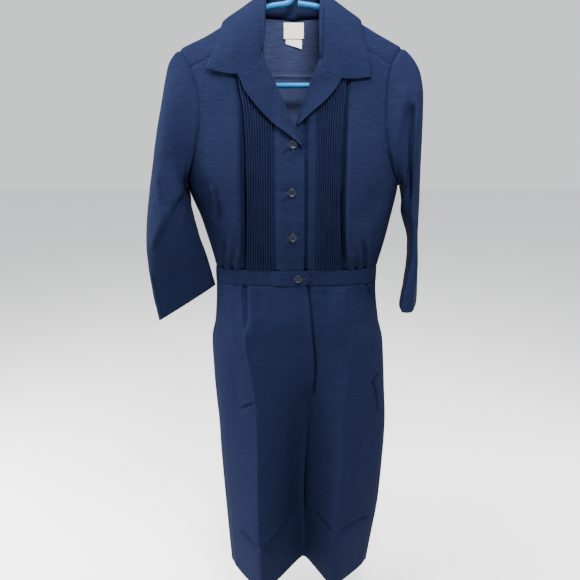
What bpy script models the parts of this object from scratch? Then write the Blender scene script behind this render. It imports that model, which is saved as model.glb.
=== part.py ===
"""A navy waitress dress hanging on a tubular plastic hanger, in metres, with +Z up.

The origin is the inside top of the hook, where the hanger is held. The dress faces -Y, and the
wearer's right side is at -X. The cloth is a set of thin walls. Each wall is a grid of points
on the form that the hanging dress takes, with its inner face moved in by the cloth's thickness.
"""

import math

import bmesh
import bpy
import numpy as np

# Driving sizes, in metres
CLOTH = 0.0015
DOUBLE_CLOTH = 0.0020
SEAM_GAP = 0.0003
HALF_GAP = SEAM_GAP / 2
WAIST_TOP = -0.545
WAIST_BOTTOM = -0.573
HEM = -1.183
YOKE_DROP = 0.041
BACK_YOKE = -0.206
RIDGE_RADIUS = 0.0075
RIDGE_SPREAD = 0.045
SIDE_POWER = 2.5
LAP_LIFT = 0.0035
TUCKS = 11
TUCK_HEIGHT = 0.0016
PLACKET_EDGE = 0.0175
UNDER_PLACKET_EDGE = -0.018
TAB_TIP = 0.032
TAB_LENGTH = 0.012
UNDER_BAND_END = -0.008
SKIRT_UNDER_LAP = 0.028
LAP_END = -0.81
UNDER_LAP_END = -0.765
BUTTON_RADIUS = 0.0075
BUTTON_THICK = 0.0028
TUBE_RADIUS = 0.00475
HOOK_INSIDE = 0.019
BAR_HEIGHT = -0.2235
ARMHOLE_ROWS = 8
ARMHOLE_BACK_ROWS = 7
YOKE_H = (-0.026, -0.012, -0.006, 0.0, 0.006, 0.012, 0.026)
YOKE_ACROSS = (0.0, 0.07, 0.16, 0.30, 0.47, 0.64, 0.82, 1.0)
RIDGE_ROW = 4
CORNER = 8
CENTRE = 13
SLEEVE_STATIONS = 12
SLEEVE_RINGS = 16
SLEEVE_FLAT = 0.85
SLEEVE_CLEAR = 0.0032
ELBOW_START = (-0.168, -0.365)
ELBOW_END = (-0.262, -0.512)
ELBOW_RISE = 0.016
ELBOW_ABOVE = 0.075
ELBOW_BELOW = 0.100
ELBOW_FADE = 0.050
COLLAR_STATIONS = 6
FALL_ROWS = 5
FOLD_RADIUS = 0.0034
NOTCH = 0.62
GORGE_GAP = 0.0022
LAPEL_ROWS = 10
LAPEL_COLUMNS = 6
LAPEL_LIFT = 0.0042
LAPEL_ROLL = 0.0018
LAPEL_EDGE = 0.0030
LAP_RISE = 0.015
LAP_FADE = 0.050
TAB_BLUNT = 0.0012
BAND_PROUD = 0.0006
BAND_RISE_START = -0.045
BAND_RISE = 0.020
TUCK_CREST = 0.25
BUTTON_STEPS = 16
BUTTON_SEAT = 0.0006
LABEL_THICK = 0.0005

# The fullness beside the tucks, and the gathers in it at the waistband
PUFF = 0.0125
PUFF_RISE = 0.016
PUFF_SIDE = 0.060
PUFF_LOW = 0.030
PUFF_TOP = -0.230
PUFF_HIGH = 0.150
GATHER_SHARE = 0.22
GATHER_PITCH = 0.0215
GATHER_TOP = -0.455
GATHER_FADE = 0.050

# The released pleats under the waistband: x, and the way each one faces
PLEATS = [(-0.0885, 1), (0.0960, -1)]
PLEAT_OUT = 0.0050
PLEAT_BEFORE = 0.006
PLEAT_STEP = 0.009
PLEAT_WIDTH = 0.045
PLEAT_RISE = 0.012
PLEAT_END = -0.700
PLEAT_FADE = 0.070
FRONT_RIDGE_SOFT = 0.010
FRONT_SIDE_FADE = 0.08
BACK_RIDGE_SOFT = 0.045
BACK_SIDE_FADE = 0.12

# Starts of the plackets, and the height where their rows change
PLACKET_RIGHT_TOP = -0.218
PLACKET_LEFT_TOP = -0.203
PLACKET_MIDDLE = -0.340
SKIRT_UPPER = -0.660
GORGE_FADE = 0.35
LAPEL_ROLL_WIDTH = 0.10

# The hanger's bends, and where its arms and bar begin and end
HOOK_FROM = 200
HOOK_TO = -35
END_FROM = 65
END_TO = -90
END_LONG = 1.05
END_RIGHT = 0.178
END_LEFT = 0.172
ARM_RIGHT = (-0.016, -0.186)
ARM_LEFT = (0.180, 0.020)
BAR_POINTS = (-0.12, 0.0, 0.12)

# Rows and columns of the walls
LEVELS = 60
FINE = 121
PASSES = 12
RIM_PASSES = 30
FRONT_LOWER_ROWS = 6
FRONT_COLUMNS = 12
TUCK_UPPER_ROWS = 4
TUCK_LOWER_ROWS = 3
PLACKET_ROWS = 6
PLACKET_COLUMNS = 5
BACK_LOWER_ROWS = 5
BACK_COLUMNS = 16
BAND_TAB = 2
BAND_FRONT = 15
BAND_BACK = 16
BAND_UNDER = 12
TAB_SHOULDER = 0.62
SKIRT_ROWS = (3, 4, 7)
SKIRT_RIGHT_COLUMNS = (8, 11)
SKIRT_LEFT_COLUMNS = (10, 8)
SKIRT_BACK_COLUMNS = 22
COLLAR_STEPS = 11
FOLD_STEPS = 4
HOOK_STEPS = 22
END_STEPS = 10
ARM_STEPS = 11

NAVY = (0.022, 0.037, 0.105)
BUTTON_COLOUR = (0.018, 0.020, 0.035)
HANGER_BLUE = (0.045, 0.335, 0.640)
LABEL_CREAM = (0.760, 0.660, 0.480)
LABEL_WHITE = (0.820, 0.820, 0.800)


class Table:
    """A short table with named columns. at() reads a smooth curve through one column, by the first."""

    def __init__(self, columns, rows):
        names = columns.split()
        ordered = np.array(sorted(rows), float)
        self.key = ordered[:, 0]
        self.columns = {name: ordered[:, i] for i, name in enumerate(names)}

    def at(self, name, where):
        """A cubic through the column that never swings past its own values."""
        x, y = self.key, self.columns[name]
        where = np.clip(np.asarray(where, float), x[0], x[-1])
        step = np.diff(x)
        slope = np.diff(y) / step
        tangent = np.zeros(len(x))
        tangent[[0, -1]] = slope[[0, -1]]
        same_way = slope[1:] * slope[:-1] > 0
        steeper = np.where(same_way, slope[1:] * slope[:-1], 0.0)
        total = np.where(same_way, slope[1:] + slope[:-1], 1.0)
        tangent[1:-1] = 2 * steeper / total
        i = np.clip(np.searchsorted(x, where) - 1, 0, len(step) - 1)
        t = (where - x[i]) / step[i]
        h = step[i]
        return (
            (2 * t**3 - 3 * t**2 + 1) * y[i]
            + (t**3 - 2 * t**2 + t) * h * tangent[i]
            + (3 * t**2 - 2 * t**3) * y[i + 1]
            + (t**3 - t**2) * h * tangent[i + 1]
        )


# The line of the shoulders along the hanger, by x.
SHOULDER = Table(
    "x z",
    [
        (-0.215, -0.183),
        (-0.197, -0.165),
        (-0.187, -0.159),
        (-0.150, -0.142),
        (-0.110, -0.119),
        (-0.062, -0.092),
        (0.000, -0.084),
        (0.062, -0.093),
        (0.104, -0.117),
        (0.139, -0.136),
        (0.172, -0.154),
        (0.186, -0.162),
        (0.215, -0.188),
    ],
)

# The body by height: its left and right limits in x, and how far its front and back stand out.
BODY = Table(
    "z left right front back",
    [
        (-0.080, -0.215, 0.212, 0.040, 0.026),
        (-0.170, -0.215, 0.210, 0.050, 0.032),
        (-0.260, -0.211, 0.206, 0.057, 0.037),
        (-0.340, -0.202, 0.196, 0.064, 0.039),
        (-0.396, -0.191, 0.189, 0.068, 0.040),
        (-0.451, -0.170, 0.178, 0.068, 0.041),
        (-0.483, -0.160, 0.171, 0.066, 0.042),
        (-0.511, -0.152, 0.164, 0.062, 0.043),
        (-0.545, -0.145, 0.156, 0.055, 0.044),
        (-0.573, -0.145, 0.155, 0.053, 0.045),
        (-0.645, -0.149, 0.162, 0.058, 0.051),
        (-0.686, -0.157, 0.172, 0.056, 0.053),
        (-0.783, -0.154, 0.179, 0.048, 0.052),
        (-0.867, -0.148, 0.184, 0.041, 0.050),
        (-0.907, -0.147, 0.183, 0.037, 0.049),
        (-1.037, -0.140, 0.176, 0.028, 0.046),
        (-1.121, -0.135, 0.1645, 0.022, 0.044),
        (-1.183, -0.131, 0.156, 0.018, 0.042),
    ],
)

# The two pressed ridges of the skirt's front and the valley between them, by height.
SKIRT_FRONT = Table(
    "z right_x right_out valley_x valley_in left_x left_out",
    [
        (-0.573, -0.088, 0.000, 0.015, 0.000, 0.096, 0.000),
        (-0.620, -0.087, 0.005, 0.018, 0.000, 0.100, 0.003),
        (-0.679, -0.090, 0.013, 0.022, 0.002, 0.105, 0.009),
        (-0.740, -0.080, 0.021, 0.028, 0.006, 0.101, 0.016),
        (-0.810, -0.069, 0.031, 0.031, 0.014, 0.094, 0.024),
        (-0.925, -0.067, 0.050, 0.027, 0.027, 0.093, 0.040),
        (-1.038, -0.067, 0.070, 0.023, 0.031, 0.084, 0.056),
        (-1.110, -0.064, 0.082, 0.023, 0.031, 0.080, 0.065),
        (-1.183, -0.061, 0.094, 0.023, 0.031, 0.077, 0.074),
    ],
)

# The soft folds of the skirt's back, by height.
SKIRT_BACK = Table(
    "z right_x right_out valley_x valley_in left_x left_out",
    [
        (-0.573, -0.070, 0.000, 0.004, 0.000, 0.080, 0.000),
        (-0.700, -0.078, 0.004, 0.010, 0.002, 0.092, 0.005),
        (-0.850, -0.080, 0.014, 0.012, 0.006, 0.098, 0.015),
        (-1.000, -0.076, 0.026, 0.014, 0.010, 0.094, 0.028),
        (-1.183, -0.070, 0.038, 0.014, 0.012, 0.086, 0.040),
    ],
)

# The armholes, by height: x of the seam on the front and on the back of each side.
ARMHOLE_RIGHT = Table(
    "z front back",
    [
        (-0.396, -0.1908, -0.1908),
        (-0.385, -0.1875, -0.1860),
        (-0.360, -0.1790, -0.1780),
        (-0.320, -0.1675, -0.1715),
        (-0.275, -0.1612, -0.1690),
        (-0.250, -0.1625, -0.1700),
        (-0.228, -0.1680, -0.1725),
        (-0.206, -0.1750, -0.1765),
        (-0.194, -0.1795, -0.1805),
        (-0.180, -0.1870, -0.1875),
        (-0.165, -0.1970, -0.1970),
    ],
)
ARMHOLE_LEFT = Table(
    "z front back",
    [
        (-0.396, 0.1888, 0.1888),
        (-0.385, 0.1840, 0.1840),
        (-0.360, 0.1705, 0.1740),
        (-0.320, 0.1620, 0.1680),
        (-0.275, 0.1582, 0.1660),
        (-0.250, 0.1590, 0.1665),
        (-0.228, 0.1610, 0.1680),
        (-0.206, 0.1640, 0.1700),
        (-0.190, 0.1680, 0.1725),
        (-0.176, 0.1750, 0.1775),
        (-0.162, 0.1860, 0.1860),
    ],
)
UNDERARM = -0.396

# The outer edges of the tucked panels, by height, and their straight inner edges.
TUCK_EDGE = Table(
    "z right left",
    [
        (-0.545, -0.0860, 0.0870),
        (-0.419, -0.0820, 0.0810),
        (-0.333, -0.0825, 0.0815),
        (-0.267, -0.0860, 0.0850),
        (-0.226, -0.0930, 0.0880),
        (-0.150, -0.1020, 0.0960),
    ],
)
TUCK_INNER_RIGHT = -0.0355
TUCK_INNER_LEFT = 0.0390

# The roll lines of the lapels, by height, where each front turns back.
ROLL = Table(
    "z right left",
    [
        (-0.360, 0.0300, -0.0250),
        (-0.328, 0.0165, -0.0120),
        (-0.287, -0.0030, 0.0045),
        (-0.237, -0.0250, 0.0220),
        (-0.214, -0.0350, 0.0300),
        (-0.181, -0.0500, 0.0430),
        (-0.150, -0.0520, 0.0460),
        (-0.120, -0.0520, 0.0460),
    ],
)

# The edge of the skirt's front lap, by height.
LAP_EDGE = Table(
    "z x",
    [
        (-0.573, 0.0230),
        (-0.615, 0.0290),
        (-0.665, 0.0330),
        (-0.728, 0.0385),
        (-0.793, 0.0370),
        (-0.850, 0.0310),
        (-0.925, 0.0270),
        (-1.038, 0.0230),
        (-1.183, 0.0230),
    ],
)


# The neck edge, by step from the front yoke seam over the shoulder to the centre of the back:
# x and the distance over the shoulder line.
NECK_RIGHT = Table(
    "step x h",
    [
        (0, -0.0520, -0.0453),
        (1, -0.0550, -0.0260),
        (2, -0.0580, -0.0120),
        (3, -0.0600, -0.0060),
        (4, -0.0610, 0.0000),
        (5, -0.0605, 0.0055),
        (6, -0.0590, 0.0100),
        (8, -0.0520, 0.0245),
        (13, 0.0000, 0.0372),
    ],
)
NECK_LEFT = Table(
    "step x h",
    [
        (0, 0.0460, -0.0453),
        (1, 0.0515, -0.0260),
        (2, 0.0560, -0.0120),
        (3, 0.0595, -0.0060),
        (4, 0.0610, 0.0000),
        (5, 0.0605, 0.0055),
        (6, 0.0590, 0.0100),
        (8, 0.0520, 0.0245),
        (13, 0.0000, 0.0372),
    ],
)

# Each sleeve by station: the outer and inner ends of its section, how far the section is turned
# about the vertical, how far its two faces stand out, and how much of the armhole's shape it keeps.
SLEEVE_RIGHT = Table(
    "t out_x out_y out_z in_x in_y in_z turn front back keep",
    [
        (0, -0.1975, 0.000, -0.1655, -0.1910, 0.000, -0.3960, 0, 0.040, 0.030, 1.00),
        (1, -0.2095, -0.001, -0.1755, -0.1950, -0.001, -0.3960, 0, 0.042, 0.030, 0.80),
        (2, -0.2185, -0.003, -0.1920, -0.1965, -0.003, -0.4010, 0, 0.044, 0.030, 0.58),
        (3, -0.2245, -0.006, -0.2170, -0.1965, -0.002, -0.4080, 0, 0.046, 0.030, 0.36),
        (4, -0.2305, -0.012, -0.2520, -0.1935, -0.002, -0.4150, 0, 0.048, 0.031, 0.18),
        (5, -0.2375, -0.020, -0.2950, -0.1890, -0.004, -0.4240, 0, 0.047, 0.031, 0.06),
        (6, -0.2455, -0.028, -0.3450, -0.1865, -0.009, -0.4350, 0, 0.043, 0.030, 0.00),
        (7, -0.2535, -0.035, -0.4000, -0.1825, -0.014, -0.4490, 0, 0.038, 0.028, 0.00),
        (8, -0.2600, -0.040, -0.4550, -0.1780, -0.017, -0.4660, 0, 0.033, 0.025, 0.00),
        (9, -0.2640, -0.040, -0.5050, -0.1720, -0.018, -0.4880, 0, 0.026, 0.020, 0.00),
        (10, -0.2650, -0.034, -0.5500, -0.1645, -0.012, -0.5140, 0, 0.020, 0.018, 0.00),
        (11, -0.2625, -0.022, -0.5950, -0.1570, -0.004, -0.5450, 0, 0.015, 0.014, 0.00),
        (12, -0.2570, -0.008, -0.6520, -0.1480, 0.004, -0.5835, 0, 0.010, 0.010, 0.00),
    ],
)
SLEEVE_LEFT = Table(
    "t out_x out_y out_z in_x in_y in_z turn front back keep",
    [
        (0, 0.1865, 0.000, -0.1625, 0.1890, 0.000, -0.3960, 0, 0.040, 0.030, 1.00),
        (1, 0.2000, -0.001, -0.1710, 0.1930, -0.001, -0.3960, 0, 0.042, 0.030, 0.80),
        (2, 0.2130, -0.003, -0.1870, 0.1950, -0.003, -0.4005, 0, 0.044, 0.030, 0.58),
        (3, 0.2215, -0.006, -0.2080, 0.1960, -0.005, -0.4070, 0, 0.044, 0.029, 0.36),
        (4, 0.2260, -0.010, -0.2400, 0.1960, -0.006, -0.4140, 3, 0.042, 0.028, 0.18),
        (5, 0.2265, -0.016, -0.2850, 0.1965, -0.004, -0.4220, 8, 0.038, 0.027, 0.06),
        (6, 0.2265, -0.022, -0.3400, 0.1985, 0.004, -0.4360, 18, 0.033, 0.025, 0.00),
        (7, 0.2250, -0.030, -0.4000, 0.2065, 0.018, -0.4580, 36, 0.026, 0.022, 0.00),
        (8, 0.2200, -0.042, -0.4580, 0.2180, 0.034, -0.4850, 60, 0.018, 0.018, 0.00),
        (9, 0.2150, -0.050, -0.5060, 0.2265, 0.046, -0.5130, 74, 0.0145, 0.0145, 0.00),
        (10, 0.2115, -0.055, -0.5520, 0.2320, 0.053, -0.5450, 79, 0.0142, 0.0142, 0.00),
        (11, 0.2095, -0.058, -0.5880, 0.2340, 0.057, -0.5760, 80, 0.0145, 0.0145, 0.00),
        (12, 0.2085, -0.060, -0.6215, 0.2340, 0.060, -0.6070, 80, 0.0155, 0.0155, 0.00),
    ],
)

# The collar by station, from its front end to the centre of the back. The stand has the seam at
# the neck, n, and the fold, r. The fall has a point that it bends by, k, and its outer edge, o.
STAND_RIGHT = Table(
    "t nx ny nz rx ry rz",
    [
        (0, -0.0535, -0.0434, -0.1660, -0.0520, -0.0500, -0.1690),
        (1, -0.0530, -0.0395, -0.1400, -0.0505, -0.0480, -0.1400),
        (2, -0.0545, -0.0275, -0.1120, -0.0495, -0.0400, -0.1100),
        (3, -0.0585, -0.0060, -0.0895, -0.0480, -0.0200, -0.0860),
        (4, -0.0580, 0.0140, -0.0940, -0.0450, 0.0060, -0.0740),
        (5, -0.0450, 0.0210, -0.1080, -0.0340, 0.0220, -0.0710),
        (6, 0.0000, 0.0235, -0.1140, 0.0000, 0.0300, -0.0700),
    ],
)
FALL_RIGHT = Table(
    "t kx ky kz ox oy oz",
    [
        (0, -0.0620, -0.0600, -0.2300, -0.1480, -0.0420, -0.1990),
        (1, -0.0800, -0.0540, -0.1780, -0.1400, -0.0360, -0.1800),
        (2, -0.0840, -0.0430, -0.1300, -0.1290, -0.0270, -0.1520),
        (3, -0.0800, -0.0200, -0.0950, -0.1180, -0.0060, -0.1200),
        (4, -0.0800, 0.0160, -0.0840, -0.1080, 0.0260, -0.1280),
        (5, -0.0580, 0.0440, -0.0860, -0.0780, 0.0480, -0.1420),
        (6, 0.0000, 0.0560, -0.0860, 0.0000, 0.0560, -0.1480),
    ],
)
STAND_LEFT = Table(
    "t nx ny nz rx ry rz",
    [
        (0, 0.0480, -0.0466, -0.1780, 0.0440, -0.0525, -0.1810),
        (1, 0.0480, -0.0415, -0.1480, 0.0440, -0.0500, -0.1480),
        (2, 0.0500, -0.0285, -0.1150, 0.0450, -0.0410, -0.1140),
        (3, 0.0575, -0.0070, -0.0905, 0.0460, -0.0210, -0.0870),
        (4, 0.0580, 0.0140, -0.0940, 0.0440, 0.0060, -0.0740),
        (5, 0.0450, 0.0210, -0.1080, 0.0340, 0.0220, -0.0710),
        (6, 0.0000, 0.0235, -0.1140, 0.0000, 0.0300, -0.0700),
    ],
)
FALL_LEFT = Table(
    "t kx ky kz ox oy oz",
    [
        (0, 0.0480, -0.0610, -0.2300, 0.1310, -0.0440, -0.2130),
        (1, 0.0720, -0.0550, -0.1840, 0.1270, -0.0400, -0.1880),
        (2, 0.0780, -0.0440, -0.1360, 0.1190, -0.0300, -0.1560),
        (3, 0.0780, -0.0210, -0.0960, 0.1120, -0.0070, -0.1180),
        (4, 0.0790, 0.0160, -0.0840, 0.1060, 0.0260, -0.1270),
        (5, 0.0580, 0.0440, -0.0860, 0.0780, 0.0480, -0.1420),
        (6, 0.0000, 0.0560, -0.0860, 0.0000, 0.0560, -0.1480),
    ],
)

# The lapels from the gorge to the tip: the roll line and the outer edge.
LAPEL_RIGHT = Table(
    "t roll_x roll_z edge_x edge_z",
    [
        (0.00, -0.0520, -0.1710, -0.0945, -0.2125),
        (0.15, -0.0455, -0.1910, -0.0900, -0.2190),
        (0.35, -0.0350, -0.2140, -0.0815, -0.2370),
        (0.55, -0.0245, -0.2380, -0.0620, -0.2620),
        (0.75, -0.0095, -0.2720, -0.0385, -0.2865),
        (0.92, 0.0070, -0.3080, -0.0020, -0.3140),
        (1.00, 0.0165, -0.3270, 0.0138, -0.3278),
    ],
)
LAPEL_LEFT = Table(
    "t roll_x roll_z edge_x edge_z",
    [
        (0.00, 0.0430, -0.1830, 0.0810, -0.2155),
        (0.25, 0.0300, -0.2140, 0.0725, -0.2300),
        (0.50, 0.0215, -0.2380, 0.0545, -0.2515),
        (0.75, 0.0115, -0.2680, 0.0300, -0.2720),
        (1.00, 0.0045, -0.2900, 0.0070, -0.2920),
    ],
)

# The buttons: number, x and z.
BUTTONS = [(1, -0.0010, -0.3245), (2, -0.0030, -0.4050), (3, -0.0010, -0.4830), (4, 0.0080, -0.5590)]

# A button's outline, as shares of its radius and thickness, from the middle of its face.
BUTTON_PROFILE = [
    (0.00, 0.55),
    (0.50, 0.60),
    (0.62, 0.95),
    (0.84, 1.00),
    (1.00, 0.75),
    (0.98, 0.25),
    (0.85, 0.00),
    (0.00, 0.00),
]

# The hanger's neck from the hook to the first arm, and where the second arm ends beside it.
HANGER_NECK = [
    (0.0110, -0.0430),
    (0.0035, -0.0510),
    (0.0000, -0.0600),
    (0.0000, -0.0720),
    (-0.0018, -0.0830),
    (-0.0075, -0.0893),
]
HANGER_NECK_END = (0.0070, -0.0905)


def ease(t):
    """0 to 1 with a level start and end."""
    t = np.clip(t, 0.0, 1.0)
    return t * t * (3 - 2 * t)


def peak(x, left, top, right, soft):
    """A line from 0 at left up to 1 at top and down to 0 at right, with rounded corners."""

    def bend(at, change):
        return change * 0.5 * ((x - at) + np.sqrt((x - at) ** 2 + soft**2))

    up, down = 1 / (top - left), 1 / (right - top)
    height = bend(left, up) - bend(top, up + down) + bend(right, down)
    return np.clip(height, 0.0, None)


def centre_and_half(z):
    left, right = BODY.at("left", z), BODY.at("right", z)
    return (left + right) / 2, (right - left) / 2


def over_ridge(drop, full):
    """The depth at a drop below the shoulder line: round over the tube, then falling clear."""
    near = np.clip(1 - drop / RIDGE_RADIUS, 0.0, 1.0)
    cap = RIDGE_RADIUS * np.sqrt(1 - near**2)
    clear = 1 - np.exp(-np.clip(drop, 0.0, None) / RIDGE_SPREAD)
    return cap + (full - RIDGE_RADIUS) * clear


def puff(x, z):
    """The fullness of the outer fronts beside the tucked panels, gathered into the waistband."""
    out = 0.0
    for name, side in (("right", -1), ("left", 1)):
        beside = side * (x - TUCK_EDGE.at(name, z))
        centre, half = centre_and_half(z)
        to_side = half - side * (x - centre)
        rise = ease(beside / PUFF_RISE) * ease(to_side / PUFF_SIDE)
        tall = ease((z - WAIST_TOP) / PUFF_LOW) * ease((PUFF_TOP - z) / PUFF_HIGH)
        gather = GATHER_SHARE * np.sin(2 * math.pi * beside / GATHER_PITCH)
        ripple = 1 + gather * ease((GATHER_TOP - z) / GATHER_FADE)
        out = out + PUFF * rise * tall * ripple
    return out


def pleat(x, z):
    """A short released pleat under the waistband on each side of the skirt's front."""
    out = 0.0
    for at, side in PLEATS:
        beside = side * (x - at)
        step = ease((beside + PLEAT_BEFORE) / PLEAT_STEP) * ease((PLEAT_WIDTH - beside) / PLEAT_WIDTH)
        tall = ease((WAIST_BOTTOM - z) / PLEAT_RISE) * ease((z - PLEAT_END) / PLEAT_FADE)
        out = out + PLEAT_OUT * step * tall
    return out


def ridges(table, x, z, left, right, soft):
    """The two ridges of one side of the skirt, less the valley between them."""
    a = peak(x, left, table.at("right_x", z), table.at("valley_x", z), soft)
    b = peak(x, table.at("valley_x", z), table.at("left_x", z), right, soft)
    valley = peak(x, table.at("right_x", z), table.at("valley_x", z), table.at("left_x", z), soft)
    return (
        a * table.at("right_out", z)
        + b * table.at("left_out", z)
        - valley * table.at("valley_in", z)
    )


def front_depth(x, z):
    """How far the front of the dress stands out towards -Y."""
    centre, half = centre_and_half(z)
    s = np.clip(np.abs((x - centre) / half), 0.0, 1.0)
    round_side = (1 - s**SIDE_POWER) ** (1 / SIDE_POWER)
    depth = over_ridge(SHOULDER.at("z", x) - z, BODY.at("front", z) * round_side)
    depth = depth + puff(x, z) + pleat(x, z)
    below = np.where(z < WAIST_BOTTOM, 1.0, 0.0)
    fold = ridges(SKIRT_FRONT, x, z, centre - half, centre + half, FRONT_RIDGE_SOFT)
    return depth + below * fold * ease((1 - s) / FRONT_SIDE_FADE)


def back_depth(x, z):
    """How far the back of the dress stands out towards +Y."""
    centre, half = centre_and_half(z)
    s = np.clip(np.abs((x - centre) / half), 0.0, 1.0)
    round_side = (1 - s**SIDE_POWER) ** (1 / SIDE_POWER)
    depth = over_ridge(SHOULDER.at("z", x) - z, BODY.at("back", z) * round_side)
    below = np.where(z < WAIST_BOTTOM, 1.0, 0.0)
    fold = ridges(SKIRT_BACK, x, z, centre - half, centre + half, BACK_RIDGE_SOFT)
    return depth + below * fold * ease((1 - s) / BACK_SIDE_FADE)


def on_body(side, x, z):
    """Points on the dress, on its front for side -1 and its back for side 1."""
    x, z = np.broadcast_arrays(np.asarray(x, float), np.asarray(z, float))
    depth = front_depth(x, z) if side < 0 else back_depth(x, z)
    return np.stack([x, side * (depth + HALF_GAP), z], axis=-1)


def unit(v):
    return v / np.maximum(np.linalg.norm(v, axis=-1, keepdims=True), 1e-12)


def grid_normals(points, side, round_the_columns=False):
    """The outward normals of a grid whose rows run down and whose columns run across."""
    down = np.gradient(points, axis=0)
    if round_the_columns:
        across = np.roll(points, -1, axis=1) - np.roll(points, 1, axis=1)
    else:
        across = np.gradient(points, axis=1)
    return unit(np.cross(across, down)) * side


def spread_columns(side, z, breaks, shares):
    """x across one row: each stretch between two breaks is shared out along the cloth."""
    xs = []
    for start, end, share in zip(breaks[:-1], breaks[1:], shares):
        fine = start + (end - start) * np.linspace(0, 1, FINE)
        path = on_body(side, fine, z)
        along = np.concatenate([[0], np.cumsum(np.linalg.norm(np.diff(path, axis=0), axis=1))])
        at = np.interp(share * along[-1], along, fine)
        xs.append(at if not xs else at[1:])
    return np.concatenate(xs)


def even(count):
    return np.linspace(0, 1, count + 1)


def level(height):
    """A panel's upper edge at one height."""
    return lambda x: np.full(np.shape(x), height)


def body_grid(side, top, levels, edges, shares):
    """x and z of a panel's points. edges are functions of height, and top is one of x.

    levels lists (height, rows down to it), and the first row follows the top edge.
    """
    highest = float(np.max(top(np.linspace(-0.21, 0.21, 61))))
    heights = np.linspace(highest, levels[-1][0], LEVELS)
    across = np.array([spread_columns(side, z, [e(z) for e in edges], shares) for z in heights])
    columns = across.shape[1]

    def x_at(z):
        return np.array([np.interp(-z[j], -heights, across[:, j]) for j in range(columns)])

    z_top = np.full(columns, float(levels[0][0]))
    for _ in range(PASSES):
        z_top = top(x_at(z_top))
    rows = [z_top]
    for height, count in levels:
        start = rows[-1]
        rows += [start + (height - start) * share for share in even(count)[1:]]
    z = np.array(rows)
    return np.array([x_at(row) for row in z]), z


# Meshes


def material(name, colour, roughness):
    made = bpy.data.materials.new(name)
    made.use_nodes = True
    shader = made.node_tree.nodes["Principled BSDF"]
    shader.inputs["Base Color"].default_value = (*colour, 1.0)
    shader.inputs["Roughness"].default_value = roughness
    shader.inputs["Metallic"].default_value = 0.0
    return made


def add_object(name, mesh, collection, surface):
    thing = bpy.data.objects.new(name, mesh)
    thing.data.materials.append(surface)
    collection.objects.link(thing)
    return thing


def add_wall(name, outer, inner, collection, surface, closed=False):
    """A loft between an outer and an inner grid of points, closed along its edges.

    Both faces of the wall are split along the same diagonal, the shorter one.
    """
    rows, columns, _ = outer.shape
    work = bmesh.new()
    faces_of = [
        [[work.verts.new(point) for point in row] for row in grid] for grid in (outer, inner)
    ]
    out, into = faces_of
    last = columns if closed else columns - 1
    for i in range(rows - 1):
        for j in range(last):
            k = (j + 1) % columns
            falling = np.linalg.norm(outer[i, j] - outer[i + 1, k])
            rising = np.linalg.norm(outer[i, k] - outer[i + 1, j])
            for grid in faces_of:
                a, b, c, d = grid[i][j], grid[i][k], grid[i + 1][k], grid[i + 1][j]
                halves = ((a, b, c), (a, c, d)) if falling <= rising else ((a, b, d), (b, c, d))
                for half in halves:
                    work.faces.new(half)
    for j in range(last):
        k = (j + 1) % columns
        work.faces.new((out[0][k], out[0][j], into[0][j], into[0][k]))
        work.faces.new((out[-1][j], out[-1][k], into[-1][k], into[-1][j]))
    if not closed:
        for i in range(rows - 1):
            work.faces.new((out[i][0], out[i + 1][0], into[i + 1][0], into[i][0]))
            work.faces.new((out[i + 1][-1], out[i][-1], into[i][-1], into[i + 1][-1]))
    bmesh.ops.recalc_face_normals(work, faces=work.faces)
    mesh = bpy.data.meshes.new(name)
    work.to_mesh(mesh)
    work.free()
    mesh.shade_smooth()
    return add_object(name, mesh, collection, surface)


def wall_of(
    points, side, lift=0.0, relief=0.0, thick=CLOTH, seam_rows=(), seam_columns=(), first=0, closed=False
):
    """The outer and inner grids of a panel.

    lift moves the whole wall off the body, and relief raises its outer points alone. A row along
    a seam is cut level. A column along a side seam is cut square, from the first row named.
    """
    normals = grid_normals(points, side, closed)
    lift = np.broadcast_to(lift, points.shape[:2])[..., None]
    relief = np.broadcast_to(relief, points.shape[:2])[..., None]
    outer = points + normals * (lift + relief)
    inner = points + normals * (lift - thick)
    for i in seam_rows:
        outer[i, :, 2] = inner[i, :, 2] = points[i, :, 2]
    for j in seam_columns:
        outer[first:, j, 1] = inner[first:, j, 1] = points[first:, j, 1]
    return outer, inner


# The yoke, over the shoulders


def ridge_height(x, h):
    """The height at a distance h over the shoulder line, in front of it where h is negative."""
    turn = np.clip(np.abs(h) / RIDGE_RADIUS, 0.0, math.pi / 2)
    beyond = np.clip(np.abs(h) - RIDGE_RADIUS * math.pi / 2, 0.0, None)
    return SHOULDER.at("z", x) - RIDGE_RADIUS * (1 - np.cos(turn)) - beyond


def ridge_distance(drop):
    """The distance over the shoulder line of a point that lies a drop below it."""
    turn = np.arccos(np.clip(1 - drop / RIDGE_RADIUS, -1.0, 1.0))
    straight = drop + RIDGE_RADIUS * (math.pi / 2 - 1)
    return np.where(drop > RIDGE_RADIUS, straight, turn * RIDGE_RADIUS)


def over_point(x, h):
    z = ridge_height(x, h)
    depth = np.where(h < 0, -front_depth(x, z), back_depth(x, z))
    return np.stack(np.broadcast_arrays(x, depth, z), axis=-1)


def over_normal(x, h):
    step = RIDGE_RADIUS / 8
    along = over_point(x + step, h) - over_point(x - step, h)
    up = over_point(x, h + step) - over_point(x, h - step)
    return unit(np.cross(along, up))


def rim_point(armhole, h):
    """x where the armhole's seam crosses a distance h over the shoulder line."""
    x = float(armhole.at("front", BACK_YOKE))
    for _ in range(RIM_PASSES):
        z = float(ridge_height(x, h))
        x = float(armhole.at("front" if h < 0 else "back", z))
    return x


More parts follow.
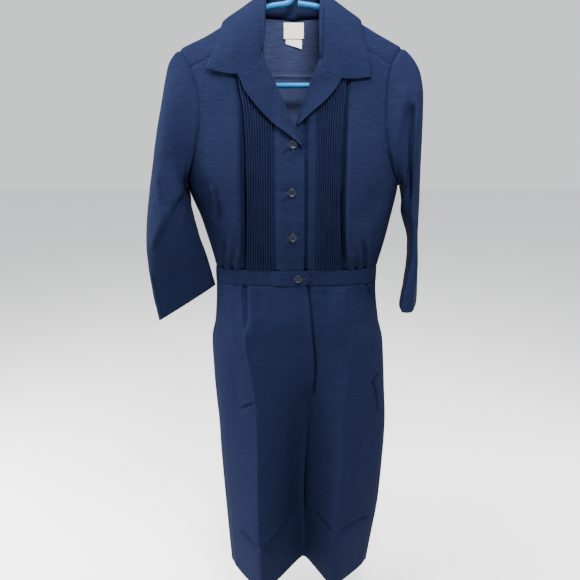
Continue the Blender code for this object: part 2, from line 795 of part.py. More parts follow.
def yoke_half(armhole, neck):
    """x and h of the yoke's grid, by row from the front seam to the centre of the back."""
    corner_x = float(armhole.at("back", BACK_YOKE + HALF_GAP))
    front_h = -float(ridge_distance(YOKE_DROP - HALF_GAP))
    rows = []
    for step, h in enumerate([front_h, *YOKE_H]):
        inside = (float(neck.at("x", step)), float(neck.at("h", step)))
        rows.append((inside, (rim_point(armhole, h), h)))
    corner = len(rows)
    for share in even(CENTRE - corner):
        x = corner_x * (1 - share)
        step = corner + share * (CENTRE - corner)
        drop = float(SHOULDER.at("z", x)) - BACK_YOKE - HALF_GAP
        rim = (x, float(ridge_distance(drop)))
        rows.append(((float(neck.at("x", step)), float(neck.at("h", step))), rim))
    rows[0] = ((rows[0][0][0], front_h), rows[0][1])
    return np.array(
        [[np.add(a, np.subtract(b, a) * share) for share in YOKE_ACROSS] for a, b in rows]
    )


def yoke(make):
    """One piece over both shoulders, round the back of the neck."""
    right, left = yoke_half(ARMHOLE_RIGHT, NECK_RIGHT), yoke_half(ARMHOLE_LEFT, NECK_LEFT)
    grid = np.concatenate([right, left[-2::-1]])
    x, h = grid[..., 0], grid[..., 1]
    outer = over_point(x, h)
    inner = outer - over_normal(x, h) * CLOTH
    inner[[0, -1], :, 2] = outer[[0, -1], :, 2]
    back = slice(CORNER, len(outer) - CORNER)
    inner[back, -1, 2] = outer[back, -1, 2]
    make("yoke", outer, inner)
    return outer, inner


def under_yoke(yoke_outer):
    """The height of the fronts' upper edges, just under the yoke's seam."""
    seam = np.concatenate([yoke_outer[0][::-1], yoke_outer[-1]])
    return lambda x: np.interp(x, seam[:, 0], seam[:, 2]) - SEAM_GAP


# The bodice below the yoke


def stepped(edge, top):
    """A seam as straight lines between the rows of the plainer of the two panels that it joins."""
    z = float(WAIST_TOP)
    for _ in range(PASSES):
        z = float(top(edge(z)))
    upper = np.linspace(z, UNDERARM, TUCK_UPPER_ROWS + 1)
    lower = np.linspace(UNDERARM, WAIST_TOP, TUCK_LOWER_ROWS + 1)
    heights = np.concatenate([upper, lower[1:]])
    places = edge(heights)
    return lambda at: float(np.interp(-at, -heights, places))


def bodice_fronts(make, top):
    """The outer fronts, from the armhole and side seam to the tucked panels."""
    made = {}
    for name, side_name, armhole, limit, sign in (
        ("bodice_front_right", "right", ARMHOLE_RIGHT, "left", -1),
        ("bodice_front_left", "left", ARMHOLE_LEFT, "right", 1),
    ):
        tucks = stepped(lambda z: TUCK_EDGE.at(side_name, z), top)

        def outer_edge(z):
            return float(np.where(z > UNDERARM, armhole.at("front", z), BODY.at(limit, z)))

        def tuck_edge(z):
            return tucks(z) + sign * HALF_GAP

        edges = [tuck_edge, outer_edge][::sign]
        levels = [(UNDERARM, ARMHOLE_ROWS), (WAIST_TOP + HALF_GAP, FRONT_LOWER_ROWS)]
        x, z = body_grid(-1, top, levels, edges, [even(FRONT_COLUMNS)])
        side_seam = -1 if sign > 0 else 0
        seams = {"seam_rows": [0, -1], "seam_columns": [side_seam], "first": ARMHOLE_ROWS}
        made[name] = wall_of(on_body(-1, x, z), -1, **seams)
        make(name, *made[name])
    return made


def tuck_panels(make, top):
    """Eleven narrow tucks on each side of the placket, raised over a plain inside."""
    places = np.append(np.concatenate([[k, k + TUCK_CREST] for k in range(TUCKS)]) / TUCKS, 1.0)
    heights = np.append(np.tile([0.0, TUCK_HEIGHT], TUCKS), 0.0)
    for name, side_name, straight, sign in (
        ("tuck_panel_right", "right", TUCK_INNER_RIGHT, -1),
        ("tuck_panel_left", "left", TUCK_INNER_LEFT, 1),
    ):
        tucks = stepped(lambda z: TUCK_EDGE.at(side_name, z), top)

        def outer_edge(z):
            return tucks(z) - sign * HALF_GAP

        def inner_edge(z):
            roll = sign * float(ROLL.at(side_name, z))
            return sign * max(sign * straight, roll) + sign * HALF_GAP

        edges = [inner_edge, outer_edge][::sign]
        shares = 1 - places[::-1] if sign > 0 else places
        relief = heights[::-1] if sign > 0 else heights
        levels = [(UNDERARM, TUCK_UPPER_ROWS), (WAIST_TOP + HALF_GAP, TUCK_LOWER_ROWS)]
        x, z = body_grid(-1, top, levels, edges, [shares])
        make(name, *wall_of(on_body(-1, x, z), -1, relief=relief, seam_rows=[0, -1]))


def placket_lift(x):
    """The right front lies over the left one, beside the straight edge of its tucks."""
    return LAP_LIFT * ease((x - TUCK_INNER_RIGHT) / LAP_RISE)


def plackets(make):
    """The plain strips that the buttons close, up to where each lapel turns back."""

    def right_edge(z):
        return min(PLACKET_EDGE, float(ROLL.at("right", z)) - SEAM_GAP)

    def left_edge(z):
        return max(UNDER_PLACKET_EDGE, float(ROLL.at("left", z)) + SEAM_GAP)

    levels = [(PLACKET_MIDDLE, PLACKET_ROWS), (WAIST_TOP + HALF_GAP, PLACKET_ROWS)]
    for name, start, edges in (
        ("placket_right", PLACKET_RIGHT_TOP, [lambda z: TUCK_INNER_RIGHT + HALF_GAP, right_edge]),
        ("placket_left", PLACKET_LEFT_TOP, [left_edge, lambda z: TUCK_INNER_LEFT - HALF_GAP]),
    ):
        x, z = body_grid(-1, level(start), levels, edges, [even(PLACKET_COLUMNS)])
        lift = placket_lift(x) if name == "placket_right" else 0.0
        make(name, *wall_of(on_body(-1, x, z), -1, lift=lift, seam_rows=[-1]))


def bodice_back(make):
    """The back below its yoke, in one piece."""

    def right_edge(z):
        return float(np.where(z > UNDERARM, ARMHOLE_RIGHT.at("back", z), BODY.at("left", z)))

    def left_edge(z):
        return float(np.where(z > UNDERARM, ARMHOLE_LEFT.at("back", z), BODY.at("right", z)))

    levels = [(UNDERARM, ARMHOLE_BACK_ROWS), (WAIST_TOP + HALF_GAP, BACK_LOWER_ROWS)]
    top = level(BACK_YOKE - HALF_GAP)
    x, z = body_grid(1, top, levels, [right_edge, left_edge], [even(BACK_COLUMNS)])
    seams = {"seam_rows": [0, -1], "seam_columns": [0, -1], "first": ARMHOLE_BACK_ROWS}
    grids = wall_of(on_body(1, x, z), 1, **seams)
    make("bodice_back", *grids)
    return grids


# The sleeves


def elbow_fold(points):
    """How far the front of the right sleeve stands out at the sharp slanting fold of its elbow."""
    start, end = np.array(ELBOW_START), np.array(ELBOW_END)
    length = np.linalg.norm(end - start)
    line = (end - start) / length
    place = points[:, [0, 2]] - start
    along = place @ line
    off = place @ np.array([line[1], -line[0]])
    roof = np.clip(1 - np.abs(off) / np.where(off < 0, ELBOW_BELOW, ELBOW_ABOVE), 0.0, 1.0)
    return ELBOW_RISE * roof * ease(along / ELBOW_FADE) * ease((length - along) / ELBOW_FADE + 0.35)


def armhole_loop(yoke_grid, front_grid, back_grid, side):
    """The armhole's seam as one loop, from the shoulder down the front and up the back."""
    rim = (yoke_grid if side < 0 else yoke_grid[::-1])[: CORNER + 1, -1]
    column = 0 if side < 0 else -1
    underarm = (front_grid[ARMHOLE_ROWS, column] + back_grid[ARMHOLE_BACK_ROWS, column]) / 2
    front = front_grid[1:ARMHOLE_ROWS, column]
    back = back_grid[1:ARMHOLE_BACK_ROWS, column][::-1]
    rest = rim[CORNER:RIDGE_ROW:-1]
    return np.concatenate([rim[RIDGE_ROW::-1], front, underarm[None], back, rest])


def section(table, t, angle, side):
    """One ring of a sleeve: an oval between its outer and inner ends, with a flatter front."""
    read = {key: float(table.at(key, t)) for key in table.columns}
    out = np.array([read["out_x"], read["out_y"], read["out_z"]])
    into = np.array([read["in_x"], read["in_y"], read["in_z"]])
    turn = math.radians(read["turn"]) * side
    face = np.array([-math.sin(turn), -math.cos(turn), 0.0])
    thick = np.where(angle < math.pi, read["front"], read["back"])
    across = np.sign(np.cos(angle)) * np.abs(np.cos(angle)) ** SLEEVE_FLAT
    through = np.sign(np.sin(angle)) * np.abs(np.sin(angle)) ** SLEEVE_FLAT * thick
    return (out + into) / 2 + across[:, None] * (out - into) / 2 + through[:, None] * face


def sleeve(make, name, table, loop, loop_inner, side, folded):
    """A tube from the armhole's own loop of points to the cuff."""
    steps = np.linalg.norm(np.diff(loop, axis=0, append=loop[:1]), axis=1)
    path = np.concatenate([[0], np.cumsum(steps)])
    under = int(np.argmin(loop[:, 2]))
    down = path[:-1] / path[under]
    up = (path[:-1] - path[under]) / (path[-1] - path[under])
    angle = math.pi * np.where(np.arange(len(loop)) <= under, down, 1 + up)
    first = section(table, 0, angle, side)
    rings = []
    for t in np.linspace(0, SLEEVE_STATIONS, SLEEVE_RINGS + 1):
        ring = section(table, t, angle, side)
        if folded:
            front = np.clip(np.sin(angle), 0, 1) ** 0.5
            ring[:, 1] -= elbow_fold(ring) * front
        rings.append(ring + float(table.at("keep", t)) * (loop - first))
    outer, inner = wall_of(np.array(rings), side, closed=True)
    around = np.roll(loop, -1, axis=0) - np.roll(loop, 1, axis=0)
    away = unit(np.cross(around, loop - loop_inner))
    away = away * np.sign(np.sum(away[:, 0]) * side)
    outer[0], inner[0] = loop + away * SEAM_GAP, loop_inner + away * SEAM_GAP
    clear = [np.sum((grid[1] - grid[0]) * away, axis=1) for grid in (outer, inner)]
    push = away * np.clip(SLEEVE_CLEAR - np.minimum(*clear), 0, None)[:, None]
    outer[1] += push
    inner[1] += push
    make(name, outer, inner, True)


# Waistband and skirt


def waistband(make):
    """One strip from its pointed end, round the body, to the end beneath it."""
    middle = (WAIST_TOP + WAIST_BOTTOM) / 2
    high = (WAIST_TOP - WAIST_BOTTOM) / 2 - HALF_GAP
    right, left = float(BODY.at("left", middle)), float(BODY.at("right", middle))

    def stretch(side, start, end, count):
        return [(side, x) for x in spread_columns(side, middle, [start, end], [even(count)])]

    tab = stretch(-1, TAB_TIP, TAB_TIP - TAB_LENGTH, BAND_TAB)
    front = tab + stretch(-1, TAB_TIP - TAB_LENGTH, right, BAND_FRONT)[1:-1]
    back = stretch(1, right, left, BAND_BACK)
    end = stretch(-1, left, UNDER_BAND_END, BAND_UNDER)[1:]
    columns = front + back + end
    half = np.full(len(columns), high)
    half[:2] = [TAB_BLUNT, high * TAB_SHOULDER]
    heights = [middle + half, np.full(len(columns), middle), middle - half]
    points = np.array(
        [[on_body(side, x, z) for (side, x), z in zip(columns, row)] for row in heights]
    )
    for j in (len(front), len(front) + len(back) - 1):
        points[:, j, 1] = 0.0
    lift = np.zeros(len(columns))
    over = np.array([x for _, x in front])
    lift[: len(front)] = LAP_LIFT * ease((over - BAND_RISE_START) / BAND_RISE)
    make("waistband", *wall_of(points, 1, lift=lift, relief=BAND_PROUD, seam_rows=[0, 1, 2]))


def skirt_lift(x, z):
    """The right front of the skirt lies over the left one, down to the end of its opening."""
    near = ease((x - LAP_EDGE.at("x", z) + SKIRT_UNDER_LAP + 2 * LAP_RISE) / LAP_RISE)
    return LAP_LIFT * near * ease((z - LAP_END) / LAP_FADE)


def skirt(make):
    """Two fronts and a back, from the waistband to the hem."""

    def right_side(z):
        return float(BODY.at("left", z))

    def left_side(z):
        return float(BODY.at("right", z))

    def right_ridge(z):
        return float(SKIRT_FRONT.at("right_x", z))

    def left_ridge(z):
        return float(SKIRT_FRONT.at("left_x", z))

    def lap(z):
        return float(LAP_EDGE.at("x", z)) - HALF_GAP

    def under_lap(z):
        under = SKIRT_UNDER_LAP * np.clip((z - UNDER_LAP_END) / (WAIST_BOTTOM - UNDER_LAP_END), 0, 1)
        return float(LAP_EDGE.at("x", z)) - under + HALF_GAP

    top = level(WAIST_BOTTOM - HALF_GAP)
    levels = list(zip((SKIRT_UPPER, LAP_END, HEM), SKIRT_ROWS))
    shares = [even(count) for count in SKIRT_RIGHT_COLUMNS]
    x, z = body_grid(-1, top, levels, [right_side, right_ridge, lap], shares)
    points, lift = on_body(-1, x, z), skirt_lift(x, z)
    make("skirt_front_right", *wall_of(points, -1, lift=lift, seam_rows=[0, -1], seam_columns=[0]))
    shares = [even(count) for count in SKIRT_LEFT_COLUMNS]
    x, z = body_grid(-1, top, levels, [under_lap, left_ridge, left_side], shares)
    make("skirt_front_left", *wall_of(on_body(-1, x, z), -1, seam_rows=[0, -1], seam_columns=[-1]))
    x, z = body_grid(1, top, levels, [right_side, left_side], [even(SKIRT_BACK_COLUMNS)])
    make("skirt_back", *wall_of(on_body(1, x, z), 1, seam_rows=[0, -1], seam_columns=[0, -1]))


# Collar and lapels


def fall_point(read, start, s):
    """A point on the falling part of the collar: a bend from the fold, by K, to the outer edge."""
    return (1 - s) ** 2 * start + 2 * s * (1 - s) * read["k"] + s**2 * read["o"]


def collar_station(tables, t):
    """The named points of the collar at a station, the way up its stand and the way it falls."""
    read = {}
    for table, names in zip(tables, ("nr", "ko")):
        for name in names:
            read[name] = np.array([float(table.at(name + axis, t)) for axis in "xyz"])
    up = unit(read["r"] - read["n"])
    drop = read["k"] - read["r"]
    out = unit(drop - up * np.dot(drop, up))
    return read, up, out


def collar_profile(tables, t):
    """One line across the collar: up the stand, round the fold and down to the edge."""
    read, up, out = collar_station(tables, t)
    hub = read["r"] - up * FOLD_RADIUS
    turns = np.linspace(0, math.pi, FOLD_STEPS)
    fold = [hub + FOLD_RADIUS * (up * math.sin(a) - out * math.cos(a)) for a in turns]
    stand = [read["n"] + (fold[0] - read["n"]) * share for share in (0.0, 0.5)]
    fall = [fall_point(read, fold[-1], s) for s in even(FALL_ROWS)[1:]]
    return stand + fold + fall


def collar(make):
    """Stand and fall in one wall, right round the neck."""
    stations = np.linspace(0, COLLAR_STATIONS, COLLAR_STEPS)
    right = [collar_profile((STAND_RIGHT, FALL_RIGHT), t) for t in stations]
    left = [collar_profile((STAND_LEFT, FALL_LEFT), t) for t in stations]
    points = np.array(right + left[-2::-1])
    make("collar", points, points - grid_normals(points, 1) * DOUBLE_CLOTH)


def gorge(tables, side, b):
    """x and z just below the collar's front edge, from the fold at 0 to the notch at 1."""
    read, up, out = collar_station(tables, 0)
    start = read["r"] + (out - up) * FOLD_RADIUS

    def place(s):
        return fall_point(read, start, s)[[0, 2]]

    s = NOTCH * b
    tangent = unit(place(s + 0.01) - place(s - 0.01))
    return place(s) + GORGE_GAP * np.array([side * tangent[1], -side * tangent[0]])


def lapels(make):
    """Each front's facing, turned back from the roll line and lying on the front."""
    for name, table, collar_tables, side in (
        ("lapel_right", LAPEL_RIGHT, (STAND_RIGHT, FALL_RIGHT), -1),
        ("lapel_left", LAPEL_LEFT, (STAND_LEFT, FALL_LEFT), 1),
    ):
        seam = np.array([gorge(collar_tables, side, b) for b in even(LAPEL_COLUMNS)])
        straight = seam[0] + (seam[-1] - seam[0]) * even(LAPEL_COLUMNS)[:, None]
        rows = [seam]
        for t in even(LAPEL_ROWS)[1:]:
            roll = np.array([float(table.at("roll_x", t)), float(table.at("roll_z", t))])
            edge = np.array([float(table.at("edge_x", t)), float(table.at("edge_z", t))])
            row = roll + (edge - roll) * even(LAPEL_COLUMNS)[:, None]
            rows.append(row + (seam - straight) * (1 - ease(t / GORGE_FADE)))
        grid = np.array(rows)
        x, z, b = grid[..., 0], grid[..., 1], even(LAPEL_COLUMNS)
        base = placket_lift(x) if side < 0 else 0.0
        lift = base + LAPEL_LIFT + LAPEL_ROLL * np.exp(-b / LAPEL_ROLL_WIDTH) + LAPEL_EDGE * b**2
        make(name, *wall_of(on_body(-1, x, z), -side, lift=lift, thick=DOUBLE_CLOTH))


# Small pieces and the hanger


def buttons(collection, surface):
    """Four turned buttons with a sunk middle, three on the placket and one on the waistband."""
    for n, x, z in BUTTONS:
        points = [(r * BUTTON_RADIUS, 0.0, h * BUTTON_THICK) for r, h in BUTTON_PROFILE]
        mesh = bpy.data.meshes.new(f"button_{n}")
        mesh.from_pydata(points, [(i, i + 1) for i in range(len(points) - 1)], [])
        button = add_object(f"button_{n}", mesh, collection, surface)
        turn = button.modifiers.new("turned", "SCREW")
        turn.steps = turn.render_steps = BUTTON_STEPS
        turn.use_merge_vertices = True
        turn.merge_threshold = 0.00001
        turn.use_normal_calculate = True
        reach = BUTTON_RADIUS
        depths = [float(front_depth(np.array(x), np.array(z + dz))) for dz in (-reach, 0.0, reach)]
        lean = math.atan2(depths[2] - depths[0], 2 * reach)
        proud = LAP_LIFT + HALF_GAP + (BAND_PROUD if z < WAIST_TOP else 0.0)
        button.rotation_euler = (math.pi / 2 + lean, 0, 0)
        button.location = (x, -depths[1] - proud - BUTTON_SEAT, z)


def labels(collection, cream, white):
    """The neck label and the care label under it, left bare, inside the back of the neck."""
    for name, surface, left, right, top, low_left, low_right, off in (
        ("neck_label", cream, -0.0175, 0.0175, -0.1185, -0.1440, -0.1440, 0.0016),
        ("care_label", white, -0.0140, 0.0145, -0.1230, -0.1520, -0.1605, 0.0008),
    ):
        across = even(4)
        x = left + (right - left) * across
        low = low_left + (low_right - low_left) * across
        z = np.array([top + (low - top) * share for share in even(3)])
        outer = on_body(1, x, z)
        outer[..., 1] -= CLOTH + off
        inner = outer - [0.0, LABEL_THICK, 0.0]
        add_wall(name, outer, inner, collection, surface)


def arm_height(x):
    """The height of the middle of the hanger's tube, lying square under the sloping yoke."""
    step = 0.002
    slope = float(SHOULDER.at("z", x + step) - SHOULDER.at("z", x - step)) / (2 * step)
    return float(SHOULDER.at("z", x)) - (CLOTH + 3 * SEAM_GAP + TUBE_RADIUS) * math.hypot(1, slope)


def hanger_end(side, middle):
    """The round end of the hanger, from its arm down to its bar."""
    radius = (arm_height(side * (middle + 0.008)) - BAR_HEIGHT) / 2
    points = []
    for turn in np.radians(np.linspace(END_FROM, END_TO, END_STEPS)):
        x = middle + END_LONG * radius * math.cos(turn)
        points.append((side * x, BAR_HEIGHT + radius + radius * math.sin(turn)))
    return points


def hanger(collection, surface):
    """One bent tube: the hook, the neck, an arm, the bar and the other arm back to the neck."""
    reach = HOOK_INSIDE + TUBE_RADIUS
    turns = np.radians(np.linspace(HOOK_FROM, HOOK_TO, HOOK_STEPS))
    path = [(reach * math.cos(turn), reach * math.sin(turn) - HOOK_INSIDE) for turn in turns]
    path += HANGER_NECK
    path += [(x, arm_height(x)) for x in np.linspace(*ARM_RIGHT, ARM_STEPS)]
    path += hanger_end(-1, END_RIGHT)
    path += [(x, BAR_HEIGHT) for x in BAR_POINTS]
    path += hanger_end(1, END_LEFT)[::-1]
    path += [(x, arm_height(x)) for x in np.linspace(*ARM_LEFT, ARM_STEPS)]
    path += [HANGER_NECK_END]
    curve = bpy.data.curves.new("hanger", "CURVE")
    curve.dimensions = "3D"
    curve.bevel_depth = TUBE_RADIUS
    curve.bevel_resolution = 2
    curve.use_fill_caps = True
    spline = curve.splines.new("POLY")
    spline.points.add(len(path) - 1)
    for point, (x, z) in zip(spline.points, path):
        point.co = (x, 0.0, z, 1.0)
    add_object("hanger", curve, collection, surface)


def main():
    for thing in list(bpy.data.objects):
        bpy.data.objects.remove(thing, do_unlink=True)
    collection = bpy.data.collections.new("waitress_dress")
    bpy.context.scene.collection.children.link(collection)

    def make(name, outer, inner, closed=False):
        add_wall(name, outer, inner, collection, material(name, NAVY, 0.85), closed)

    yoke_grids = yoke(make)
    top = under_yoke(yoke_grids[0])
    fronts = bodice_fronts(make, top)
    tuck_panels(make, top)
    plackets(make)
    back = bodice_back(make)
    for name, table, front, side in (
        ("sleeve_right", SLEEVE_RIGHT, fronts["bodice_front_right"], -1),
        ("sleeve_left", SLEEVE_LEFT, fronts["bodice_front_left"], 1),
    ):
        loops = [armhole_loop(yoke_grids[i], front[i], back[i], side) for i in (0, 1)]
        sleeve(make, name, table, *loops, side, folded=side < 0)
    waistband(make)
    skirt(make)
    collar(make)
    lapels(make)
    buttons(collection, material("button", BUTTON_COLOUR, 0.35))
    cream, white = material("label_cream", LABEL_CREAM, 0.8), material("label_white", LABEL_WHITE, 0.7)
    labels(collection, cream, white)
    hanger(collection, material("hanger_plastic", HANGER_BLUE, 0.3))


main()
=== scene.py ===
"""A navy waitress dress on a blue tubular hanger, dressed for the render.

Metres, +Z up, apart from tables and folds, which are in millimetres. The origin is the inside top
of the hook. The dress faces -Y and the wearer's right side is at -X. The form tables and form
functions are those of the part.
"""

import math

import bmesh
import bpy
import numpy as np
from mathutils import Matrix, Vector


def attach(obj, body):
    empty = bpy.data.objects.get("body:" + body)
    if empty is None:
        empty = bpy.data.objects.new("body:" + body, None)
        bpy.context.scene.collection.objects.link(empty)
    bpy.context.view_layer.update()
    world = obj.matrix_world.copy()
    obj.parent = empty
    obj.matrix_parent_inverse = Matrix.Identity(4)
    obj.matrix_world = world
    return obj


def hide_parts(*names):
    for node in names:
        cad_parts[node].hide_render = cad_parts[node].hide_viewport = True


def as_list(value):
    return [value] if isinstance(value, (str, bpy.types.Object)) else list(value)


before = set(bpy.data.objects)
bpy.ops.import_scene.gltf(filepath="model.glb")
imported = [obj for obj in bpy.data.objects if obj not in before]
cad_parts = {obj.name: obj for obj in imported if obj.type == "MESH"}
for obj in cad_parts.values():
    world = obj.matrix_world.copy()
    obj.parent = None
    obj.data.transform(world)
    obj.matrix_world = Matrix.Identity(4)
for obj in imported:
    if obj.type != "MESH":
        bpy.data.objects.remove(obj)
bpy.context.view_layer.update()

# Driving sizes, in metres
CLOTH = 0.0015
DOUBLE_CLOTH = 0.0020
SEAM_GAP = 0.0003
HALF_GAP = SEAM_GAP / 2
WAIST_TOP = -0.545
WAIST_BOTTOM = -0.573
HEM = -1.183
YOKE_DROP = 0.041
BACK_YOKE = -0.206
RIDGE_RADIUS = 0.0075
RIDGE_SPREAD = 0.045
SIDE_POWER = 2.5
LAP_LIFT = 0.0035
TUCKS = 11
PLACKET_EDGE = 0.0175
UNDER_PLACKET_EDGE = -0.018
TAB_TIP = 0.032
TAB_LENGTH = 0.012
UNDER_BAND_END = -0.008
SKIRT_UNDER_LAP = 0.028
LAP_END = -0.81
UNDER_LAP_END = -0.765
BUTTON_RADIUS = 0.0075
BUTTON_THICK = 0.0028
TUBE_RADIUS = 0.00475
HOOK_INSIDE = 0.019
BAR_HEIGHT = -0.2235
YOKE_H = (-0.026, -0.012, -0.006, 0.0, 0.006, 0.012, 0.026)
CORNER = 8
CENTRE = 13
SLEEVE_STATIONS = 12
SLEEVE_FLAT = 0.85
ELBOW_START = (-0.168, -0.365)
ELBOW_END = (-0.262, -0.512)
ELBOW_RISE = 0.016
ELBOW_ABOVE = 0.075
ELBOW_BELOW = 0.100
ELBOW_FADE = 0.050
ELBOW_LEFT_OVER = 0.35
COLLAR_STATIONS = 6
FOLD_RADIUS = 0.0034
NOTCH = 0.62
LAPEL_LIFT = 0.0042
LAPEL_ROLL = 0.0018
LAPEL_EDGE = 0.0030
LAP_RISE = 0.015
LAP_FADE = 0.050
TAB_BLUNT = 0.0012
BAND_PROUD = 0.0006
BAND_RISE_START = -0.045
BAND_RISE = 0.020
BUTTON_SEAT = 0.0006

# The fullness beside the tucks, and the gathers in it at the waistband
PUFF = 0.0125
PUFF_RISE = 0.016
PUFF_SIDE = 0.060
PUFF_LOW = 0.030
PUFF_TOP = -0.230
PUFF_HIGH = 0.150
GATHER_SHARE = 0.22
GATHER_PITCH = 0.0215
GATHER_TOP = -0.455
GATHER_FADE = 0.050

# The released pleats under the waistband: x, and the way each one faces
PLEATS = [(-0.0885, 1), (0.0960, -1)]
PLEAT_OUT = 0.0050
PLEAT_BEFORE = 0.006
PLEAT_STEP = 0.009
PLEAT_WIDTH = 0.045
PLEAT_RISE = 0.012
PLEAT_END = -0.700
PLEAT_FADE = 0.070
FRONT_RIDGE_SOFT = 0.005
FRONT_SIDE_FADE = 0.08
BACK_RIDGE_SOFT = 0.045
BACK_SIDE_FADE = 0.12

# Starts of the plackets, and the height where their rows change
PLACKET_RIGHT_TOP = -0.218
PLACKET_LEFT_TOP = -0.203
PLACKET_MIDDLE = -0.340
GORGE_FADE = 0.35
LAPEL_ROLL_WIDTH = 0.10

# The hanger's bends, and where its arms and bar begin and end
HOOK_FROM = 200
HOOK_TO = -35
END_FROM = 65
END_TO = -90
END_LONG = 1.05
END_RIGHT = 0.178
END_LEFT = 0.172
ARM_RIGHT = (-0.016, -0.186)
ARM_LEFT = (0.180, 0.020)
BAR_POINTS = (-0.12, 0.0, 0.12)

# Rows and columns of the walls
LEVELS = 60
PASSES = 12
RIM_PASSES = 30

# Colours of the trimmings
BUTTON_COLOUR = (0.0050, 0.0065, 0.0150)
HANGER_BLUE = (0.004, 0.078, 0.225)
LABEL_CREAM = (0.660, 0.580, 0.500)
LABEL_WHITE = (0.640, 0.640, 0.640)
# The near-black of the rims in the buttons' holes is painted shade, not a colour of the button
HOLE_SHADE_COLOUR = (0.004, 0.004, 0.006)


class Table:
    """A short table with named columns. at() reads a smooth curve through one column, by the first.

    Rows are in millimetres, apart from stations, steps, shares and angles. at() gives metres.
    """

    def __init__(self, columns, rows):
        ordered = np.array(sorted(rows), float).T
        self.columns = {}
        for name, column in zip(columns.split(), ordered):
            self.columns[name] = column if name in ("t", "step", "turn", "keep") else column / 1000
        self.key = next(iter(self.columns.values()))

    def at(self, name, where):
        """A cubic through the column that never swings past its own values."""
        x, y = self.key, self.columns[name]
        where = np.clip(np.asarray(where, float), x[0], x[-1])
        step = np.diff(x)
        slope = np.diff(y) / step
        tangent = np.zeros(len(x))
        tangent[[0, -1]] = slope[[0, -1]]
        same_way = slope[1:] * slope[:-1] > 0
        steeper = np.where(same_way, slope[1:] * slope[:-1], 0.0)
        total = np.where(same_way, slope[1:] + slope[:-1], 1.0)
        tangent[1:-1] = 2 * steeper / total
        i = np.clip(np.searchsorted(x, where) - 1, 0, len(step) - 1)
        t = (where - x[i]) / step[i]
        h = step[i]
        before = (2 * t**3 - 3 * t**2 + 1) * y[i] + (t**3 - 2 * t**2 + t) * h * tangent[i]
        return before + (3 * t**2 - 2 * t**3) * y[i + 1] + (t**3 - t**2) * h * tangent[i + 1]


# The line of the shoulders along the hanger, by x.
SHOULDER = Table("x z", [
    (-215, -183), (-197, -165), (-187, -159), (-150, -142), (-110, -119), (-62, -92), (0, -84),
    (62, -93), (104, -117), (139, -136), (172, -154), (186, -162), (215, -188),
])

# The body by height: its left and right limits in x, and how far its front and back stand out.
BODY = Table("z left right front back", [
    (-80, -215, 212, 40, 26), (-170, -215, 210, 50, 32), (-260, -211, 206, 57, 37),
    (-340, -202, 196, 64, 39), (-396, -191, 189, 68, 40), (-451, -170, 178, 68, 41),
    (-483, -160, 171, 66, 42), (-511, -152, 164, 62, 43), (-545, -145, 156, 55, 44),
    (-573, -145, 155, 53, 45), (-645, -149, 162, 58, 51), (-686, -157, 172, 56, 53),
    (-783, -154, 179, 48, 52), (-867, -148, 184, 41, 50), (-907, -147, 183, 37, 49),
    (-1037, -140, 176, 28, 46), (-1121, -135, 164.5, 22, 44), (-1183, -131, 156, 18, 42),
])

# The two pressed ridges of the skirt's front and the valley between them, by height.
SKIRT_FRONT = Table("z right_x right_out valley_x valley_in left_x left_out", [
    (-573, -88, 0, 15, 0, 96, 0), (-620, -87, 5, 18, 0, 100, 3), (-679, -90, 13, 22, 2, 105, 9),
    (-740, -80, 21, 28, 6, 101, 16), (-810, -69, 31, 31, 14, 94, 24), (-925, -67, 50, 27, 27, 93, 40),
    (-1038, -67, 70, 23, 31, 84, 56), (-1110, -64, 82, 23, 31, 80, 65),
    (-1183, -61, 94, 23, 31, 77, 74),
])

# The soft folds of the skirt's back, by height.
SKIRT_BACK = Table("z right_x right_out valley_x valley_in left_x left_out", [
    (-573, -70, 0, 4, 0, 80, 0), (-700, -78, 4, 10, 2, 92, 5), (-850, -80, 14, 12, 6, 98, 15),
    (-1000, -76, 26, 14, 10, 94, 28), (-1183, -70, 38, 14, 12, 86, 40),
])

# The armholes, by height: x of the seam on the front and on the back of each side.
ARMHOLE_RIGHT = Table("z front back", [
    (-396, -190.8, -190.8), (-385, -187.5, -186), (-360, -179, -178), (-320, -167.5, -171.5),
    (-275, -161.2, -169), (-250, -162.5, -170), (-228, -168, -172.5), (-206, -175, -176.5),
    (-194, -179.5, -180.5), (-180, -187, -187.5), (-165, -197, -197),
])
ARMHOLE_LEFT = Table("z front back", [
    (-396, 188.8, 188.8), (-385, 184, 184), (-360, 170.5, 174), (-320, 162, 168), (-275, 158.2, 166),
    (-250, 159, 166.5), (-228, 161, 168), (-206, 164, 170), (-190, 168, 172.5), (-176, 175, 177.5),
    (-162, 186, 186),
])
UNDERARM = -0.396

# The outer edges of the tucked panels, by height, and their straight inner edges.
TUCK_EDGE = Table("z right left", [
    (-545, -86, 87), (-419, -82, 81), (-333, -82.5, 81.5), (-267, -86, 85), (-226, -93, 88),
    (-150, -102, 96),
])
TUCK_INNER_RIGHT = -0.0355
TUCK_INNER_LEFT = 0.0390

# The roll lines of the lapels, by height, where each front turns back.
ROLL = Table("z right left", [
    (-360, 30, -25), (-328, 16.5, -12), (-287, -3, 4.5), (-237, -25, 22), (-214, -35, 30),
    (-181, -50, 43), (-150, -52, 46), (-120, -52, 46),
])

# The edge of the skirt's front lap, by height.
LAP_EDGE = Table("z x", [
    (-573, 23), (-615, 29), (-665, 33), (-728, 38.5), (-793, 37), (-850, 31), (-925, 27), (-1038, 23),
    (-1183, 23),
])

